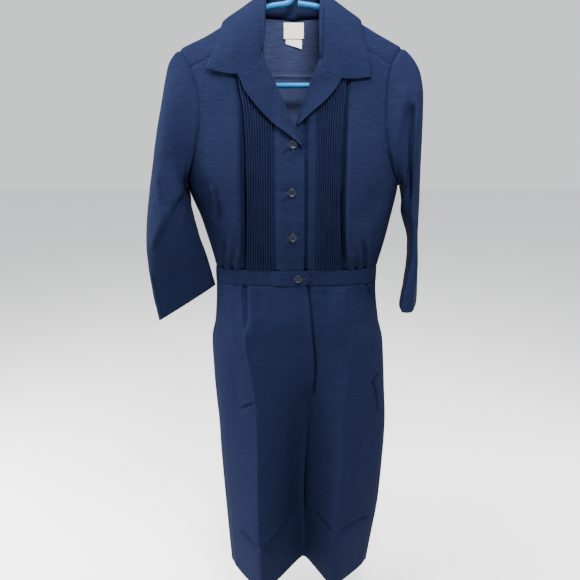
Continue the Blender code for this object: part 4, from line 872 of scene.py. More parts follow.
def section(table, t, angle, side):
    """One ring of a sleeve: an oval between its outer and inner ends, with a flatter front."""
    read = {key: float(table.at(key, t)) for key in table.columns}
    out, into = [np.array([read[f"{end}_{axis}"] for axis in "xyz"]) for end in ("out", "in")]
    turn = math.radians(read["turn"]) * side
    face = np.array([-math.sin(turn), -math.cos(turn), 0.0])
    thick = np.where(angle < math.pi, read["front"], read["back"])
    across, through = [np.sign(wave) * np.abs(wave) ** SLEEVE_FLAT for wave in (np.cos(angle), np.sin(angle))]
    return (out + into) / 2 + across[:, None] * (out - into) / 2 + (through * thick)[:, None] * face


def fall_point(read, start, s):
    """A point on the falling part of the collar: a bend from the fold, by K, to the outer edge."""
    return (1 - s) ** 2 * start + 2 * s * (1 - s) * read["k"] + s**2 * read["o"]


def collar_station(tables, t):
    """The named points of the collar at a station, the way up its stand and the way it falls."""
    read = {}
    for table, names in zip(tables, ("nr", "ko")):
        for name in names:
            read[name] = np.array([float(table.at(name + axis, t)) for axis in "xyz"])
    up = unit(read["r"] - read["n"])
    drop = read["k"] - read["r"]
    return read, up, unit(drop - up * np.dot(drop, up))


def arm_height(x):
    """The height of the middle of the hanger's tube, lying square under the sloping yoke."""
    step = 0.002
    slope = float(SHOULDER.at("z", x + step) - SHOULDER.at("z", x - step)) / (2 * step)
    return float(SHOULDER.at("z", x)) - (CLOTH + 3 * SEAM_GAP + TUBE_RADIUS) * math.hypot(1, slope)


def hanger_end(side, middle):
    """The round end of the hanger, from its arm down to its bar."""
    radius = (arm_height(side * (middle + END_INSET)) - BAR_HEIGHT) / 2
    turns = np.radians(np.linspace(END_FROM, END_TO, END_STEPS))
    across = side * (middle + END_LONG * radius * np.cos(turns))
    return list(zip(across, BAR_HEIGHT + radius * (1 + np.sin(turns))))


# Grids and folds


def waves(a, b, size, seed, count=7):
    """Soft uneven waves over a plane, about one unit high, from a fixed seed."""
    rng = np.random.default_rng(seed)
    total = np.zeros(np.shape(a))
    for _ in range(count):
        turn = rng.uniform(0, math.pi)
        length = size * rng.uniform(0.7, 1.6)
        phase = rng.uniform(0, 2 * math.pi)
        total = total + np.sin(2 * math.pi * (a * math.cos(turn) + b * math.sin(turn)) / length + phase)
    return total / math.sqrt(count)


def rounded(line):
    """A line with its corners cut, twice."""
    line = np.array(line, float)
    if len(line) < 3:
        return line
    for _ in range(2):
        near = line[:-1] * 0.75 + line[1:] * 0.25
        far = line[:-1] * 0.25 + line[1:] * 0.75
        line = np.concatenate([line[:1], np.stack([near, far], 1).reshape(-1, 2)[1:-1], line[-1:]])
    return line


def folds(a, b, table):
    """Heights in metres from a table of folds, at places a, b in millimetres."""
    a, b = np.broadcast_arrays(np.asarray(a, float), np.asarray(b, float))
    out = np.zeros(a.shape)
    for height, left, right, begin, end, line in table:
        path = rounded(line)
        reach = FOLD_REACH * max(left, right)
        low, high = path.min(0) - reach, path.max(0) + reach
        near = (a > low[0]) & (a < high[0]) & (b > low[1]) & (b < high[1])
        if not near.any():
            continue
        x, z = a[near], b[near]
        best = np.full(x.shape, 1e9)
        along = np.zeros(x.shape)
        on_left = np.zeros(x.shape, bool)
        start = 0.0
        for p, q in zip(path[:-1], path[1:]):
            d = q - p
            length = max(float(np.hypot(*d)), 1e-6)
            t = np.clip(((x - p[0]) * d[0] + (z - p[1]) * d[1]) / length**2, 0, 1)
            dx, dz = x - p[0] - t * d[0], z - p[1] - t * d[1]
            far = np.hypot(dx, dz)
            closer = far < best
            best = np.where(closer, far, best)
            along = np.where(closer, start + t * length, along)
            on_left = np.where(closer, d[0] * dz - d[1] * dx > 0, on_left)
            start += length
        fade = ease(along / begin) * ease((start - along) / end)
        out[near] += height / 1000 * bell(best, np.where(on_left, left, right)) * fade
    return out


def linked(name, data, surface=None):
    """An object in the scene, with its one material."""
    thing = bpy.data.objects.new(name, data)
    if surface:
        data.materials.append(surface)
    bpy.context.scene.collection.objects.link(thing)
    return thing


def mesh_object(name, vertices, faces, surface, weld=False):
    """A smooth mesh with its faces turned outwards."""
    mesh = bpy.data.meshes.new(name)
    mesh.from_pydata(vertices, [], faces)
    work = bmesh.new()
    work.from_mesh(mesh)
    if weld:
        bmesh.ops.remove_doubles(work, verts=work.verts, dist=1e-7)
    bmesh.ops.recalc_face_normals(work, faces=work.faces)
    work.to_mesh(mesh)
    work.free()
    mesh.shade_smooth()
    return linked(name, mesh, surface)


def grid_faces(rows, columns, closed=False):
    """The numbers of a grid's vertices, and its faces."""
    place = np.arange(rows * columns).reshape(rows, columns)
    if closed:
        place = np.concatenate([place, place[:, :1]], axis=1)
    corners = [place[:-1, :-1], place[:-1, 1:], place[1:, 1:], place[1:, :-1]]
    return place, np.stack(corners, -1).reshape(-1, 4)


def grid_object(name, points, surface, closed=False):
    """A sheet from a grid of points."""
    faces = grid_faces(*points.shape[:2], closed)[1]
    return mesh_object(name, points.reshape(-1, 3).tolist(), faces.tolist(), surface)


def doubled_object(name, outer, inner, surface):
    """A closed piece between two grids of points, with a rim round all four edges."""
    place, faces = grid_faces(*outer.shape[:2])
    loop = np.concatenate([place[0], place[1:, -1], place[-1, -2::-1], place[-2:0:-1, 0]])
    ahead = np.roll(loop, -1)
    rim = np.stack([ahead, loop, loop + place.size, ahead + place.size], -1)
    faces = np.concatenate([faces, faces[:, ::-1] + place.size, rim])
    vertices = np.concatenate([outer.reshape(-1, 3), inner.reshape(-1, 3)])
    return mesh_object(name, vertices.tolist(), faces.tolist(), surface, weld=True)


def turned(points, normals, width, layer=HEM_LAYER):
    """The grid with its first row turned under by a hem of about this width."""
    step = np.median(np.linalg.norm(np.diff(points, axis=0), axis=2), axis=1)
    count = int(np.searchsorted(np.concatenate([[0], np.cumsum(step)]), width))
    count = min(max(2, count), len(points) - 1)
    picks = sorted({*range(count, 0, -max(1, count // HEM_ROWS)), 1}, reverse=True)
    away = unit(points[0] - points[1])
    rows = [points[k] - normals[k] * layer * EDGE for k in picks]
    for turn in np.linspace(math.pi, 0, HEM_BEND)[:-1]:
        rows.append(points[0] + EDGE * (away * math.sin(turn) - normals[0] * (1 - math.cos(turn))))
    return np.concatenate([rows, points]), np.concatenate([normals[:1].repeat(len(rows), 0), normals])


def hemmed(points, normals, top=ALLOWANCE, bottom=ALLOWANCE, left=ALLOWANCE, right=ALLOWANCE):
    """Turns under the edges of a grid whose rows run down and whose columns run across."""
    if top:
        points, normals = turned(points, normals, top)
    points, normals = [part[::-1] for part in turned(points[::-1], normals[::-1], bottom)]
    for width, order in ((left, 1), (right, -1)):
        across = [part[:, ::order].transpose(1, 0, 2) for part in (points, normals)]
        points, normals = [part.transpose(1, 0, 2)[:, ::order] for part in turned(*across, width, SIDE_LAYER)]
    return points


def raised(points, normals, height):
    return points + normals * np.broadcast_to(height, points.shape[:2])[..., None]


def from_edges(points, edges):
    """The distance along the grid's own lines to the nearest of the named edges."""
    far = np.full(points.shape[:2], 1.0)
    for edge in edges:
        axis = 0 if edge in ("top", "bottom") else 1
        backwards = edge in ("bottom", "right")
        steps = np.linalg.norm(np.diff(points, axis=axis), axis=-1)
        run = np.cumsum(np.flip(steps, axis) if backwards else steps, axis=axis)
        run = np.insert(run, 0, 0.0, axis=axis)
        far = np.minimum(far, np.flip(run, axis) if backwards else run)
    return far


def closed_sides(points, sides, start=0.0):
    """Draws side edges onto the line where front and back meet, below the height start."""
    out = points
    for side in sides:
        edge = points[:, 0 if side == "left" else -1]
        z = edge[:, 2]
        shift = np.stack([BODY.at(side, z) - edge[:, 0], -edge[:, 1], 0 * z], -1)
        shift = shift * ease((start - z) / SEAM_START)[:, None]
        out = out + shift[:, None, :] * bell(from_edges(points, [side]), SEAM_REACH)[..., None]
    return out


def seam_ripple(distance, along, seed):
    """The small puckers beside a line of sewing."""
    return RIPPLE_DEEP * waves(along, 0 * along, RIPPLE_PITCH, seed, 4) * bell(distance, RIPPLE_REACH)


def groove(distance, deep=0.0011, wide=0.0024, roll=0.00035):
    """A seam's dip, with the soft roll of the allowance beside it."""
    return roll * bell(distance - ROLL_AWAY, ROLL_WIDE) - deep * bell(distance, wide)


def seam(distance, along, seed):
    return groove(distance) + seam_ripple(distance, along, seed)


def uneven(a, b, seed, *sizes):
    """Slight unevenness of a cloth, as pairs of a height and a size, each from the next seed."""
    return sum(high * waves(a, b, size, seed + k) for k, (high, size) in enumerate(sizes))


def cloth_relief(x, z, table, seed):
    """The folds of one face of the dress, with a little unevenness all over."""
    return folds(x * 1000, z * 1000, table) + uneven(x, z, seed, (0.00028, 0.075), (0.00010, 0.023))


def panel(name, surface, points, normals, relief, sides=(), start=0.0, **turns):
    """A panel's mesh, with its relief, its side seams closed and its edges turned under."""
    points = closed_sides(raised(points, normals, relief), sides, start)
    return grid_object(name, hemmed(points, normals, **turns), surface)


# The bodice


def top_of_fronts(x):
    return SHOULDER.at("z", x) - YOKE_DROP - HALF_GAP


def yoke_rim(armhole, step):
    """x and h of the yoke's outer edge at a step, down the armhole and then along the back's seam."""
    seam_z = BACK_YOKE + HALF_GAP
    corner_x = float(armhole.at("back", seam_z))
    if step > CORNER:
        x = corner_x * (CENTRE - step) / (CENTRE - CORNER)
        return x, distance_at(x, seam_z)
    h = [-float(ridge_distance(YOKE_DROP - HALF_GAP)), *YOKE_H, distance_at(corner_x, seam_z)]
    h = float(np.interp(step, range(CORNER + 1), h))
    return rim_point(armhole, h), h


def yoke_half(armhole, neck):
    rows = []
    for step in np.concatenate([np.linspace(0, CORNER, 45), np.linspace(CORNER, CENTRE, 31)[1:]]):
        a = np.array([float(neck.at("x", step)), float(neck.at("h", step))])
        if step == 0:
            a[1] = -float(ridge_distance(YOKE_DROP - HALF_GAP))
        b = np.array(yoke_rim(armhole, step))
        rows.append([a + (b - a) * share for share in even(40)])
    return np.array(rows)


def make_yoke(surface, reverse):
    right, left = yoke_half(ARMHOLE_RIGHT, NECK_RIGHT), yoke_half(ARMHOLE_LEFT, NECK_LEFT)
    grid = np.concatenate([right, left[-2::-1]])
    x, h = grid[..., 0], grid[..., 1]
    points, normals = over_point(x, h), over_normal(x, h)
    far = from_edges(points, ["top", "bottom", "right"])
    points = raised(points, normals, uneven(x, h, 31, (0.00025, 0.06)) + seam(far, x + h, 32))
    inner = raised(points, normals, -REVERSE_DEEP)
    cloth = grid_object("yoke_cloth", hemmed(points, normals), surface)
    # The yoke's reverse face takes the lightened inside material: painted light
    return cloth, grid_object("yoke_reverse", inner, reverse)


def make_fronts(surface):
    for name, sign, armhole, limit in SIDES:
        tuck_edge = edge_of(TUCK_EDGE, name, sign * HALF_GAP)
        edges = [tuck_edge, side_edge(armhole, "front", limit)][::sign]
        x, z = body_grid(-1, top_of_fronts, [(UNDERARM, 76), (WAIST_TOP + HALF_GAP, 60)], edges, [even(46)])
        points = on_body(-1, x, z)
        beside = sign * (x - TUCK_EDGE.at(name, z))
        relief = cloth_relief(x, z, FRONT_FOLDS, 11 if sign < 0 else 12) * ease(beside / TROUGH_EDGE)
        tall = ease((TROUGH_TOP - z) / TROUGH_FADE) * ease((z - TROUGH_END) / TROUGH_END_FADE)
        relief = relief - TROUGH_DEEP * bell(beside, TROUGH_WIDE) * tall
        relief = relief + seam(from_edges(points, ["top", "bottom", limit]), x + z, 13)
        normals = grid_normals(points, -1)
        yield panel(f"front_cloth_{name}", surface, points, normals, relief, [limit], UNDERARM)


def make_tucks(surface):
    for name, sign, _, _ in SIDES:
        straight = {-1: TUCK_INNER_RIGHT, 1: TUCK_INNER_LEFT}[sign]

        def inner_edge(z):
            return sign * max(sign * straight, sign * float(ROLL.at(name, z))) + sign * HALF_GAP

        rng = np.random.default_rng(5 + sign)
        tall = np.array([[rng.uniform(0.88, 1.10)] for _ in range(TUCKS)])
        at, high = np.array(TUCK_PROFILE).T
        shares = np.append((np.arange(TUCKS)[:, None] + at) / TUCKS, 1.0)
        heights = np.append(high * tall, TUCK_LAST)
        number = np.append(np.repeat(np.arange(TUCKS), len(at)), TUCKS - 1)
        if sign > 0:
            shares, heights, number = 1 - shares[::-1], heights[::-1], number[::-1]
        edges = [inner_edge, edge_of(TUCK_EDGE, name, -sign * HALF_GAP)][::sign]
        x, z = body_grid(-1, top_of_fronts, [(UNDERARM, 80), (WAIST_TOP + HALF_GAP, 50)], edges, [shares])
        sway = np.array([waves(z[:, 0], 0 * z[:, 0], 0.05, 40 + int(n), 4) for n in number]).T
        x = x + TUCK_SWAY * sway * np.sin(math.pi * shares)
        points = on_body(-1, x, z)
        relief = TUCK_DEEP * heights * (1 + 0.10 * waves(x, z, 0.030, 51, 5))
        relief = relief + 0.00025 * waves(x * 3, z, 0.045, 52 + sign, 5)
        yield panel(f"tucked_cloth_{name}", surface, points, grid_normals(points, -1), relief)


def make_plackets(surface):
    """The strips that the buttons close, the right one over the left one."""

    def right_edge(z):
        return min(PLACKET_EDGE, float(ROLL.at("right", z)) - SEAM_GAP)

    def left_edge(z):
        return max(UNDER_PLACKET_EDGE, float(ROLL.at("left", z)) + SEAM_GAP)

    right_edges = [level(TUCK_INNER_RIGHT + HALF_GAP), right_edge]
    left_edges = [left_edge, level(TUCK_INNER_LEFT - HALF_GAP)]
    for name, start, edges, sewn, seed, turns in (
        ("right", PLACKET_RIGHT_TOP, right_edges, "left", 61, {"right": FACING}),
        ("left", PLACKET_LEFT_TOP, left_edges, "right", 63, {"left": FACING}),
    ):
        levels = [(PLACKET_MIDDLE, 50), (WAIST_TOP + HALF_GAP, 84)]
        x, z = body_grid(-1, level(start), levels, edges, [even(24)])
        points = on_body(-1, x, z)
        relief = uneven(x, z, seed, (0.00030, 0.040), (0.00012, 0.014))
        relief = relief + groove(from_edges(points, ["bottom", sewn]))
        if name == "right":
            relief = relief + folds(x * 1000, z * 1000, PLACKET_FOLDS) + placket_lift(x)
        else:
            relief = relief - UNDER_DEEP * bell(x - PLACKET_EDGE - UNDER_AWAY, UNDER_WIDE)
        normals = grid_normals(points, -1)
        yield panel(f"placket_cloth_{name}", surface, points, normals, relief, top=None, **turns)


def make_back(surface, reverse):
    edges = [side_edge(armhole, "back", limit) for _, _, armhole, limit in SIDES]
    levels = [(UNDERARM, 64), (WAIST_TOP + HALF_GAP, 50)]
    x, z = body_grid(1, level(BACK_YOKE - HALF_GAP), levels, edges, [even(110)])
    points = on_body(1, x, z)
    normals = grid_normals(points, 1)
    low = ease((WAIST_TOP + BACK_GATHERS - z) / BACK_GATHERS)
    gathers = GATHER_DEEP * low * waves(x, z * 0.12, 0.026, 22, 5)
    far = from_edges(points, ["top", "bottom", "left", "right"])
    points = raised(points, normals, cloth_relief(x, z, BACK_FOLDS, 21) + gathers + seam(far, x + z, 23))
    inner = raised(points, normals, -REVERSE_DEEP)[:70, 4:-4]
    cloth = grid_object("back_cloth", hemmed(points, normals), surface)
    # The back's reverse face takes the lightened inside material: painted light
    return cloth, grid_object("back_reverse", inner, reverse)


# The sleeves


def seam_loop(armhole, half):
    """The armhole's seam as one even loop, from the shoulder down the front and up the back."""

    def over(start, end, count):
        steps = np.linspace(start, end, count)
        return [over_point(np.array(rim_point(armhole, h)), np.array(h)) for h in steps]

    def down(side, face, start, end):
        return [on_body(side, armhole.at(face, z), z) for z in np.linspace(start, end, 60)[1:]]

    first = over(0, -float(ridge_distance(YOKE_DROP)), 14)
    first = np.array(first + down(-1, "front", first[-1][2], UNDERARM))
    first[-1, 1] = 0.0
    back = down(1, "back", UNDERARM, BACK_YOKE)
    rest = over(distance_at(back[-1][0], BACK_YOKE), 0, 12)[1:-1]
    loop = []
    for path in (first, np.array([first[-1], *back, *rest, first[0]])):
        run = lengths(path)
        at = run[-1] * even(half)[:-1]
        loop.append(np.stack([np.interp(at, run, path[:, k]) for k in range(3)], -1))
    return np.concatenate(loop)


def sleeve_rings(armhole, table, side, half=48, rings=150):
    loop = seam_loop(armhole, half)
    angle = math.pi * np.arange(2 * half) / half
    first = section(table, 0, angle, side)
    made = []
    for t in np.linspace(0, SLEEVE_STATIONS, rings + 1):
        ring = section(table, t, angle, side)
        if side < 0:
            ring[:, 1] -= elbow_fold(ring) * np.clip(np.sin(angle), 0, 1) ** 0.5
        made.append(ring + float(table.at("keep", t)) * (loop - first))
    return np.array(made), angle


def press_forearm(points, run):
    """Draws the left forearm in and leans it, and presses its front edge flat near the cuff."""
    down, drawn, lean = np.array(FOREARM_LEFT).T
    low, high = points[..., 0].min(1, keepdims=True), points[..., 0].max(1, keepdims=True)
    inner = (high - points[..., 0]) / (high - low)
    points[..., 0] += np.interp(run, down, drawn)[:, None] / 1000 * inner
    points[..., 0] -= np.interp(run, down, lean)[:, None] / 1000
    behind = points[..., 1] - points[..., 1].min(1, keepdims=True)
    pressed = bell(behind, PRESSED_REACH) * ease((run - PRESSED_FROM) / PRESSED_FADE)[:, None]
    points[..., 1] -= PRESSED_SHARE * behind * pressed


def make_sleeve(name, armhole, table, side, table_folds, surface):
    points, angle = sleeve_rings(armhole, table, side)
    run = lengths(points.mean(1)) * 1000
    if name == "left":
        press_forearm(points, run)
    normals = grid_normals(points, side, True)
    across, along = np.meshgrid(angle / (2 * math.pi) * ROUND, run)
    relief = sum(folds(across + turn, along, table_folds) for turn in (-ROUND, 0, ROUND))
    a, b = np.cos(angle)[None, :] * 0.05, along / 1000 + np.sin(angle)[None, :] * 0.05
    relief = relief + uneven(a, b, 33 + side, (0.00035, 0.070), (0.00012, 0.022))
    relief = relief * ease(along / 12) + groove(along / 1000, 0.0013, 0.0026, 0.0009)
    relief = relief + seam_ripple(along / 1000, a + across / 1000, 35 + side)
    relief = relief - CUFF_STITCH * bell(run[-1] - along - 1000 * CUFF_TURN, 1.6)
    p, n = turned(raised(points, normals, relief), normals, ALLOWANCE)
    points = turned(p[::-1], n[::-1], CUFF_TURN)[0][::-1]
    return grid_object(f"sleeve_cloth_{name}", points, surface, closed=True)


# Waistband and skirt


def make_waistband(surface):
    """One closed strip: from the tab at the front, round the right side and back, to its hidden end."""
    middle = (WAIST_TOP + WAIST_BOTTOM) / 2
    high = (WAIST_TOP - WAIST_BOTTOM) / 2 - HALF_GAP + BAND_OVER
    right, left = float(BODY.at("left", middle)), float(BODY.at("right", middle))

    def stretch(side, start, end, count):
        return [(side, x) for x in spread_columns(side, middle, [start, end], [even(count)])]

    tab = stretch(-1, TAB_TIP, TAB_TIP - TAB_LENGTH, 12)
    front = tab + stretch(-1, TAB_TIP - TAB_LENGTH, right, 70)[1:-1]
    columns = front + stretch(1, right, left, 120) + stretch(-1, left, UNDER_BAND_END, 64)[1:]
    half = np.full(len(columns), high)
    reach = np.array([TAB_TIP - x for _, x in tab]) / TAB_LENGTH
    half[: len(tab)] = TAB_BLUNT + (high - TAB_BLUNT) * np.clip(reach * 1.05, 0, 1)
    shares = np.linspace(1, -1, 15)
    rows = [middle + half * share for share in shares]
    points = np.array([[on_body(side, x, z) for (side, x), z in zip(columns, row)] for row in rows])
    lift = np.zeros(len(columns))
    lift[: len(front)] = LAP_LIFT * ease((np.array([x for _, x in front]) - BAND_RISE_START) / BAND_RISE)
    normals = grid_normals(points, 1)
    a, b = np.meshgrid(lengths(points[7]), shares * high)
    relief = BAND_PROUD - BAND_ROUND * np.abs(shares)[:, None] ** 6
    relief = relief + 0.00022 * waves(a, b, 0.05, 71) + 0.00018 * waves(a, b * 0.3, 0.017, 72)
    outer, rim, inner = [raised(points, normals, lift + rise) for rise in (relief, BAND_RIM, BAND_INSIDE)]
    bends = (rim + inner) / 2 + [0.0, 0.0, BAND_CURL]
    bends[-1, :, 2] -= 2 * BAND_CURL
    grid = np.concatenate([inner[:1], bends[:1], outer, bends[-1:], inner[-1:]])
    back = np.concatenate([inner[:1], inner[:1], inner, inner[-1:], inner[-1:]])
    return doubled_object("band_cloth", grid, back - normals[0] * BAND_CLEAR, surface)


def lap_rise(x, z):
    """The lap's rise over the left front, spread softly across the cloth, and its turned edge."""
    beside = x - LAP_EDGE.at("x", z)
    rise = LAP_LIFT * ease((beside + LAP_SPREAD + LAP_FROM) / LAP_SPREAD)
    return (rise + LAP_TURNED * bell(beside, LAP_NARROW)) * ease((z - LAP_END) / LAP_FADE)


def lap_dip(x, z):
    """The dip of the left front just beside the lap."""
    dip = bell(x - LAP_EDGE.at("x", z) - DIP_AWAY, DIP_WIDE)
    return -DIP_DEEP * dip * ease((z - LAP_END) / LAP_FADE)


def under_lap(z):
    under = SKIRT_UNDER_LAP * np.clip((z - UNDER_LAP_END) / (WAIST_BOTTOM - UNDER_LAP_END), 0, 1)
    return float(LAP_EDGE.at("x", z)) - under + HALF_GAP


def flat(x, z):
    return 0.0


def make_skirt(surface):
    right_side, left_side = edge_of(BODY, "left"), edge_of(BODY, "right")
    right_ridge, left_ridge = edge_of(SKIRT_FRONT, "right_x"), edge_of(SKIRT_FRONT, "left_x")
    lap = edge_of(LAP_EDGE, "x", -HALF_GAP)
    halves = [even(52), even(60)]
    for name, side, edges, shares, rows, table, seed, extra, sides, turns in (
        ("front_right", -1, [right_side, right_ridge, lap], halves, (44, 64, 130),
         SKIRT_FOLDS, 81, lap_rise, ["left"], {"right": LAP_TURN}),
        ("front_left", -1, [under_lap, left_ridge, left_side], halves, (44, 64, 130),
         SKIRT_FOLDS, 81, lap_dip, ["right"], {"left": UNDER_TURN}),
        ("back", 1, [right_side, left_side], [even(120)], (30, 44, 100),
         SKIRT_BACK_FOLDS, 85, flat, ["left", "right"], {}),
    ):
        levels = list(zip((SKIRT_HIP, LAP_END, HEM), rows))
        x, z = body_grid(side, level(WAIST_BOTTOM - HALF_GAP), levels, edges, shares)
        points = on_body(side, x, z)
        normals = grid_normals(points, side)
        far = from_edges(points, ["top"])
        relief = cloth_relief(x, z, table, seed) + groove(far, 0.0009) + seam_ripple(far, x, seed + 2)
        relief = relief + extra(x, z)
        yield panel(f"skirt_cloth_{name}", surface, points, normals, relief, sides, bottom=HEM_TURN, **turns)


# Collar and lapels


def collar_line(tables, t):
    read, up, out = collar_station(tables, t)
    hub = read["r"] - up * FOLD_RADIUS
    fold = [hub + FOLD_RADIUS * (up * math.sin(a) - out * math.cos(a)) for a in math.pi * even(8)]
    stand = [read["n"] + (fold[0] - read["n"]) * share for share in even(8)[:-1]]
    return stand + fold + [fall_point(read, fold[-1], s) for s in even(34)[1:]]


def rim_of(outer, inner):
    """Rounds the edge of a doubled piece, by drawing both faces in over its last rows."""
    middle = (outer + inner) / 2
    i, j = [np.minimum(np.arange(count), np.arange(count)[::-1]) for count in outer.shape[:2]]
    near = np.minimum(i[:, None], j[None, :])
    share = np.array(RIM_SHARES)[np.minimum(near, len(RIM_SHARES) - 1)][..., None]
    return middle + (outer - middle) * share, middle + (inner - middle) * share


def make_collar(surface):
    stations = [0.0, 0.02, 0.05, *np.linspace(0.10, COLLAR_STATIONS, 78)]
    right = [collar_line((STAND_RIGHT, FALL_RIGHT), t) for t in stations]
    left = [collar_line((STAND_LEFT, FALL_LEFT), t) for t in stations]
    points = np.array(right + left[-2::-1])
    normals = -grid_normals(points, 1)
    place = even(points.shape[1] - 1)
    a, b = np.meshgrid(np.arange(len(points)) * 0.004, place * 0.14, indexing="ij")
    relief = 0.00040 * waves(a, b, 0.070, 91) * ease((place - 0.35) / 0.2)
    x, y, z = np.moveaxis(points, -1, 0)
    relief = relief + folds(x * 1000, z * 1000, COLLAR_FOLDS) * (y < COLLAR_FRONT)
    faces = [raised(points, normals, relief + DOUBLE_CLOTH * share) for share in (FACE_SHARE, 1 - FACE_SHARE)]
    return doubled_object("collar_cloth", *rim_of(*faces), surface)


def collar_edge(tables, side, b):
    """A point on the visible face just below the collar's front edge, from the fold to the notch."""
    read, up, out = collar_station(tables, 0)
    from_fold = (out - up) * FOLD_RADIUS

    def place(station, share):
        return fall_point(station, station["r"] + from_fold, share)

    s = NOTCH * b
    tangent = unit(place(read, s + 0.01) - place(read, s - 0.01))
    point = place(read, s) + GORGE_SEAM * np.array([side * tangent[2], 0.0, -side * tangent[0]])
    normal = unit(np.cross(tangent, place(collar_station(tables, 0.15)[0], s) - place(read, s)))
    return point - np.sign(normal[1]) * normal * DOUBLE_CLOTH * FACE_SHARE


def make_lapels(surface):
    for side_name, table, collar_tables, side in (
        ("right", LAPEL_RIGHT, (STAND_RIGHT, FALL_RIGHT), -1),
        ("left", LAPEL_LEFT, (STAND_LEFT, FALL_LEFT), 1),
    ):
        b, steps = even(36), even(70)
        gorge = np.array([collar_edge(collar_tables, side, share) for share in b])
        read = [table.at(name, steps) for name in ("roll_x", "roll_z", "edge_x", "edge_z")]
        roll, edge = np.stack(read[:2], -1)[:, None], np.stack(read[2:], -1)[:, None]
        grid = roll + (edge - roll) * b[None, :, None]
        grid = grid + (gorge[:, [0, 2]] - grid[0]) * (1 - ease(steps / GORGE_FADE))[:, None, None]
        x, z = grid[..., 0], grid[..., 1]
        lift = LAPEL_LIFT + LAPEL_ROLL * np.exp(-b / LAPEL_ROLL_WIDTH) + LAPEL_EDGE * b**2
        if side < 0:
            lift = lift + placket_lift(x)
        points = on_body(-1, x, z)
        normals = grid_normals(points, -side)
        outer = raised(points, normals, lift + 0.00030 * waves(x, z, 0.05, 95 + side) - 0.0002)
        outer[..., 1] += (gorge[:, 1] - outer[0, :, 1]) * (1 - ease(steps / GORGE_RISE))[:, None]
        faces = rim_of(outer, outer - normals * LAPEL_THICK)
        yield doubled_object(f"lapel_cloth_{side_name}", *faces, surface)


# Buttons, labels and hanger


def button_mesh(name, surface):
    """A turned button with a rim and a sunk middle."""
    turns = 2 * math.pi * even(BUTTON_STEPS)[:-1]
    r, h = np.array(BUTTON_PROFILE).T[..., None]
    r, h = r * BUTTON_RADIUS, h * BUTTON_THICK
    vertices = np.stack([r * np.cos(turns), r * np.sin(turns), h + 0 * turns], -1)
    place, faces = grid_faces(*vertices.shape[:2], closed=True)
    caps = [place[0, :-1].tolist(), place[-1, :-1].tolist()]
    return mesh_object(name, vertices.reshape(-1, 3).tolist(), faces.tolist() + caps, surface)


def tube(name, lines, radius, surface, resolution=3):
    """Threads or rods along lines of points."""
    curve = bpy.data.curves.new(name, "CURVE")
    curve.dimensions = "3D"
    curve.bevel_depth = radius
    curve.bevel_resolution = resolution
    curve.use_fill_caps = True
    for line in lines:
        spline = curve.splines.new("POLY")
        spline.points.add(len(line) - 1)
        for point, place in zip(spline.points, line):
            point.co = (*[float(v) for v in place], 1.0)
    return linked(name, curve, surface)


def make_buttons(surface, thread, dark):
    """Each button with the rims of its two holes, near-black as painted shade, and the strands of thread
    between them.
    """
    for n, x, z in BUTTONS:
        reach = BUTTON_RADIUS
        depths = [float(depth_of(-1, np.array(x), np.array(z + dz))) for dz in (-reach, 0.0, reach)]
        lean = math.atan2(depths[2] - depths[0], 2 * reach)
        proud = LAP_LIFT + HALF_GAP + (BAND_PROUD if z < WAIST_TOP else 0.0)
        place = (
            Matrix.Translation((x, -depths[1] - proud - BUTTON_SEAT, z))
            @ Matrix.Rotation(math.pi / 2 + lean, 4, "X")
            @ Matrix.Rotation(BUTTON_TURNS[n - 1], 4, "Z")
        )

        def put(line):
            return [place @ Vector(p) for p in line]

        button = button_mesh(f"turned_button_{n}", surface)
        button.data.transform(place)
        holes, strands = [], []
        for k in (-1, 1):
            turns = [(HOLE_RADIUS * math.cos(a), HOLE_RADIUS * math.sin(a)) for a in 2 * math.pi * even(16)]
            holes.append(put((dx, k * HOLE_AWAY + dy, BUTTON_THICK * HOLE_SEAT) for dx, dy in turns))
        for off in STRANDS:
            arc = [(HOLE_AWAY * math.sin(a), STRAND_HIGH * math.cos(a)) for a in math.pi * (even(8) - 0.5)]
            strands.append(put((off, dy, BUTTON_THICK * STRAND_SEAT + dz) for dy, dz in arc))
        yield button, n
        yield tube(f"button_holes_{n}", holes, HOLE_RIM, dark), n
        yield tube(f"button_thread_{n}", strands, THREAD_RADIUS, thread), n


def make_buttonholes(thread):
    """A worked slit at each button, seen a little beyond it: upright, and level on the waistband."""
    for n, x, z in BUTTONS:
        on_band = n == len(BUTTONS)
        long = SLIT_HALF * (2 * even(59) - 1)
        zigzag = STITCH_HIGH * np.where(np.arange(60) % 2, 1, -1)
        lines = [(long, off + zigzag) for off in (-SLIT_WIDE, SLIT_WIDE)]
        lines += [(end + np.zeros(9), BAR_HALF * (2 * even(8) - 1)) for end in (-SLIT_END, SLIT_END)]
        for k, (run, off) in enumerate(lines):
            a, b = (x + run + SLIT_SHIFT, z + off) if on_band else (x + off, z + run)
            lines[k] = on_body(-1, a, b)
            lines[k][..., 1] -= LAP_LIFT + (BAND_PROUD if on_band else 0.0) + STITCH_PROUD
        yield tube(f"buttonhole_{n}", lines, STITCH_RADIUS, thread)


def make_labels(surfaces):
    """Blank tapes inside the back of the neck, curling a little forward at their lower ends."""
    across, down = even(28), even(26)[:, None]
    for surface, (name, left, right, top, low_left, low_right, off, phase) in zip(surfaces, LABELS):
        x = left + (right - left) * across
        z = top + (low_left + (low_right - low_left) * across - top) * down
        points = on_body(1, x, z)
        curl = LABEL_CURL * down**2 * (1 + 0.5 * np.sin(5 * across + phase))
        points[..., 1] -= CLOTH + off + LABEL_CLEAR + curl
        yield doubled_object(name + "_tape", points, points + [0.0, LABEL_THICK, 0.0], surface)


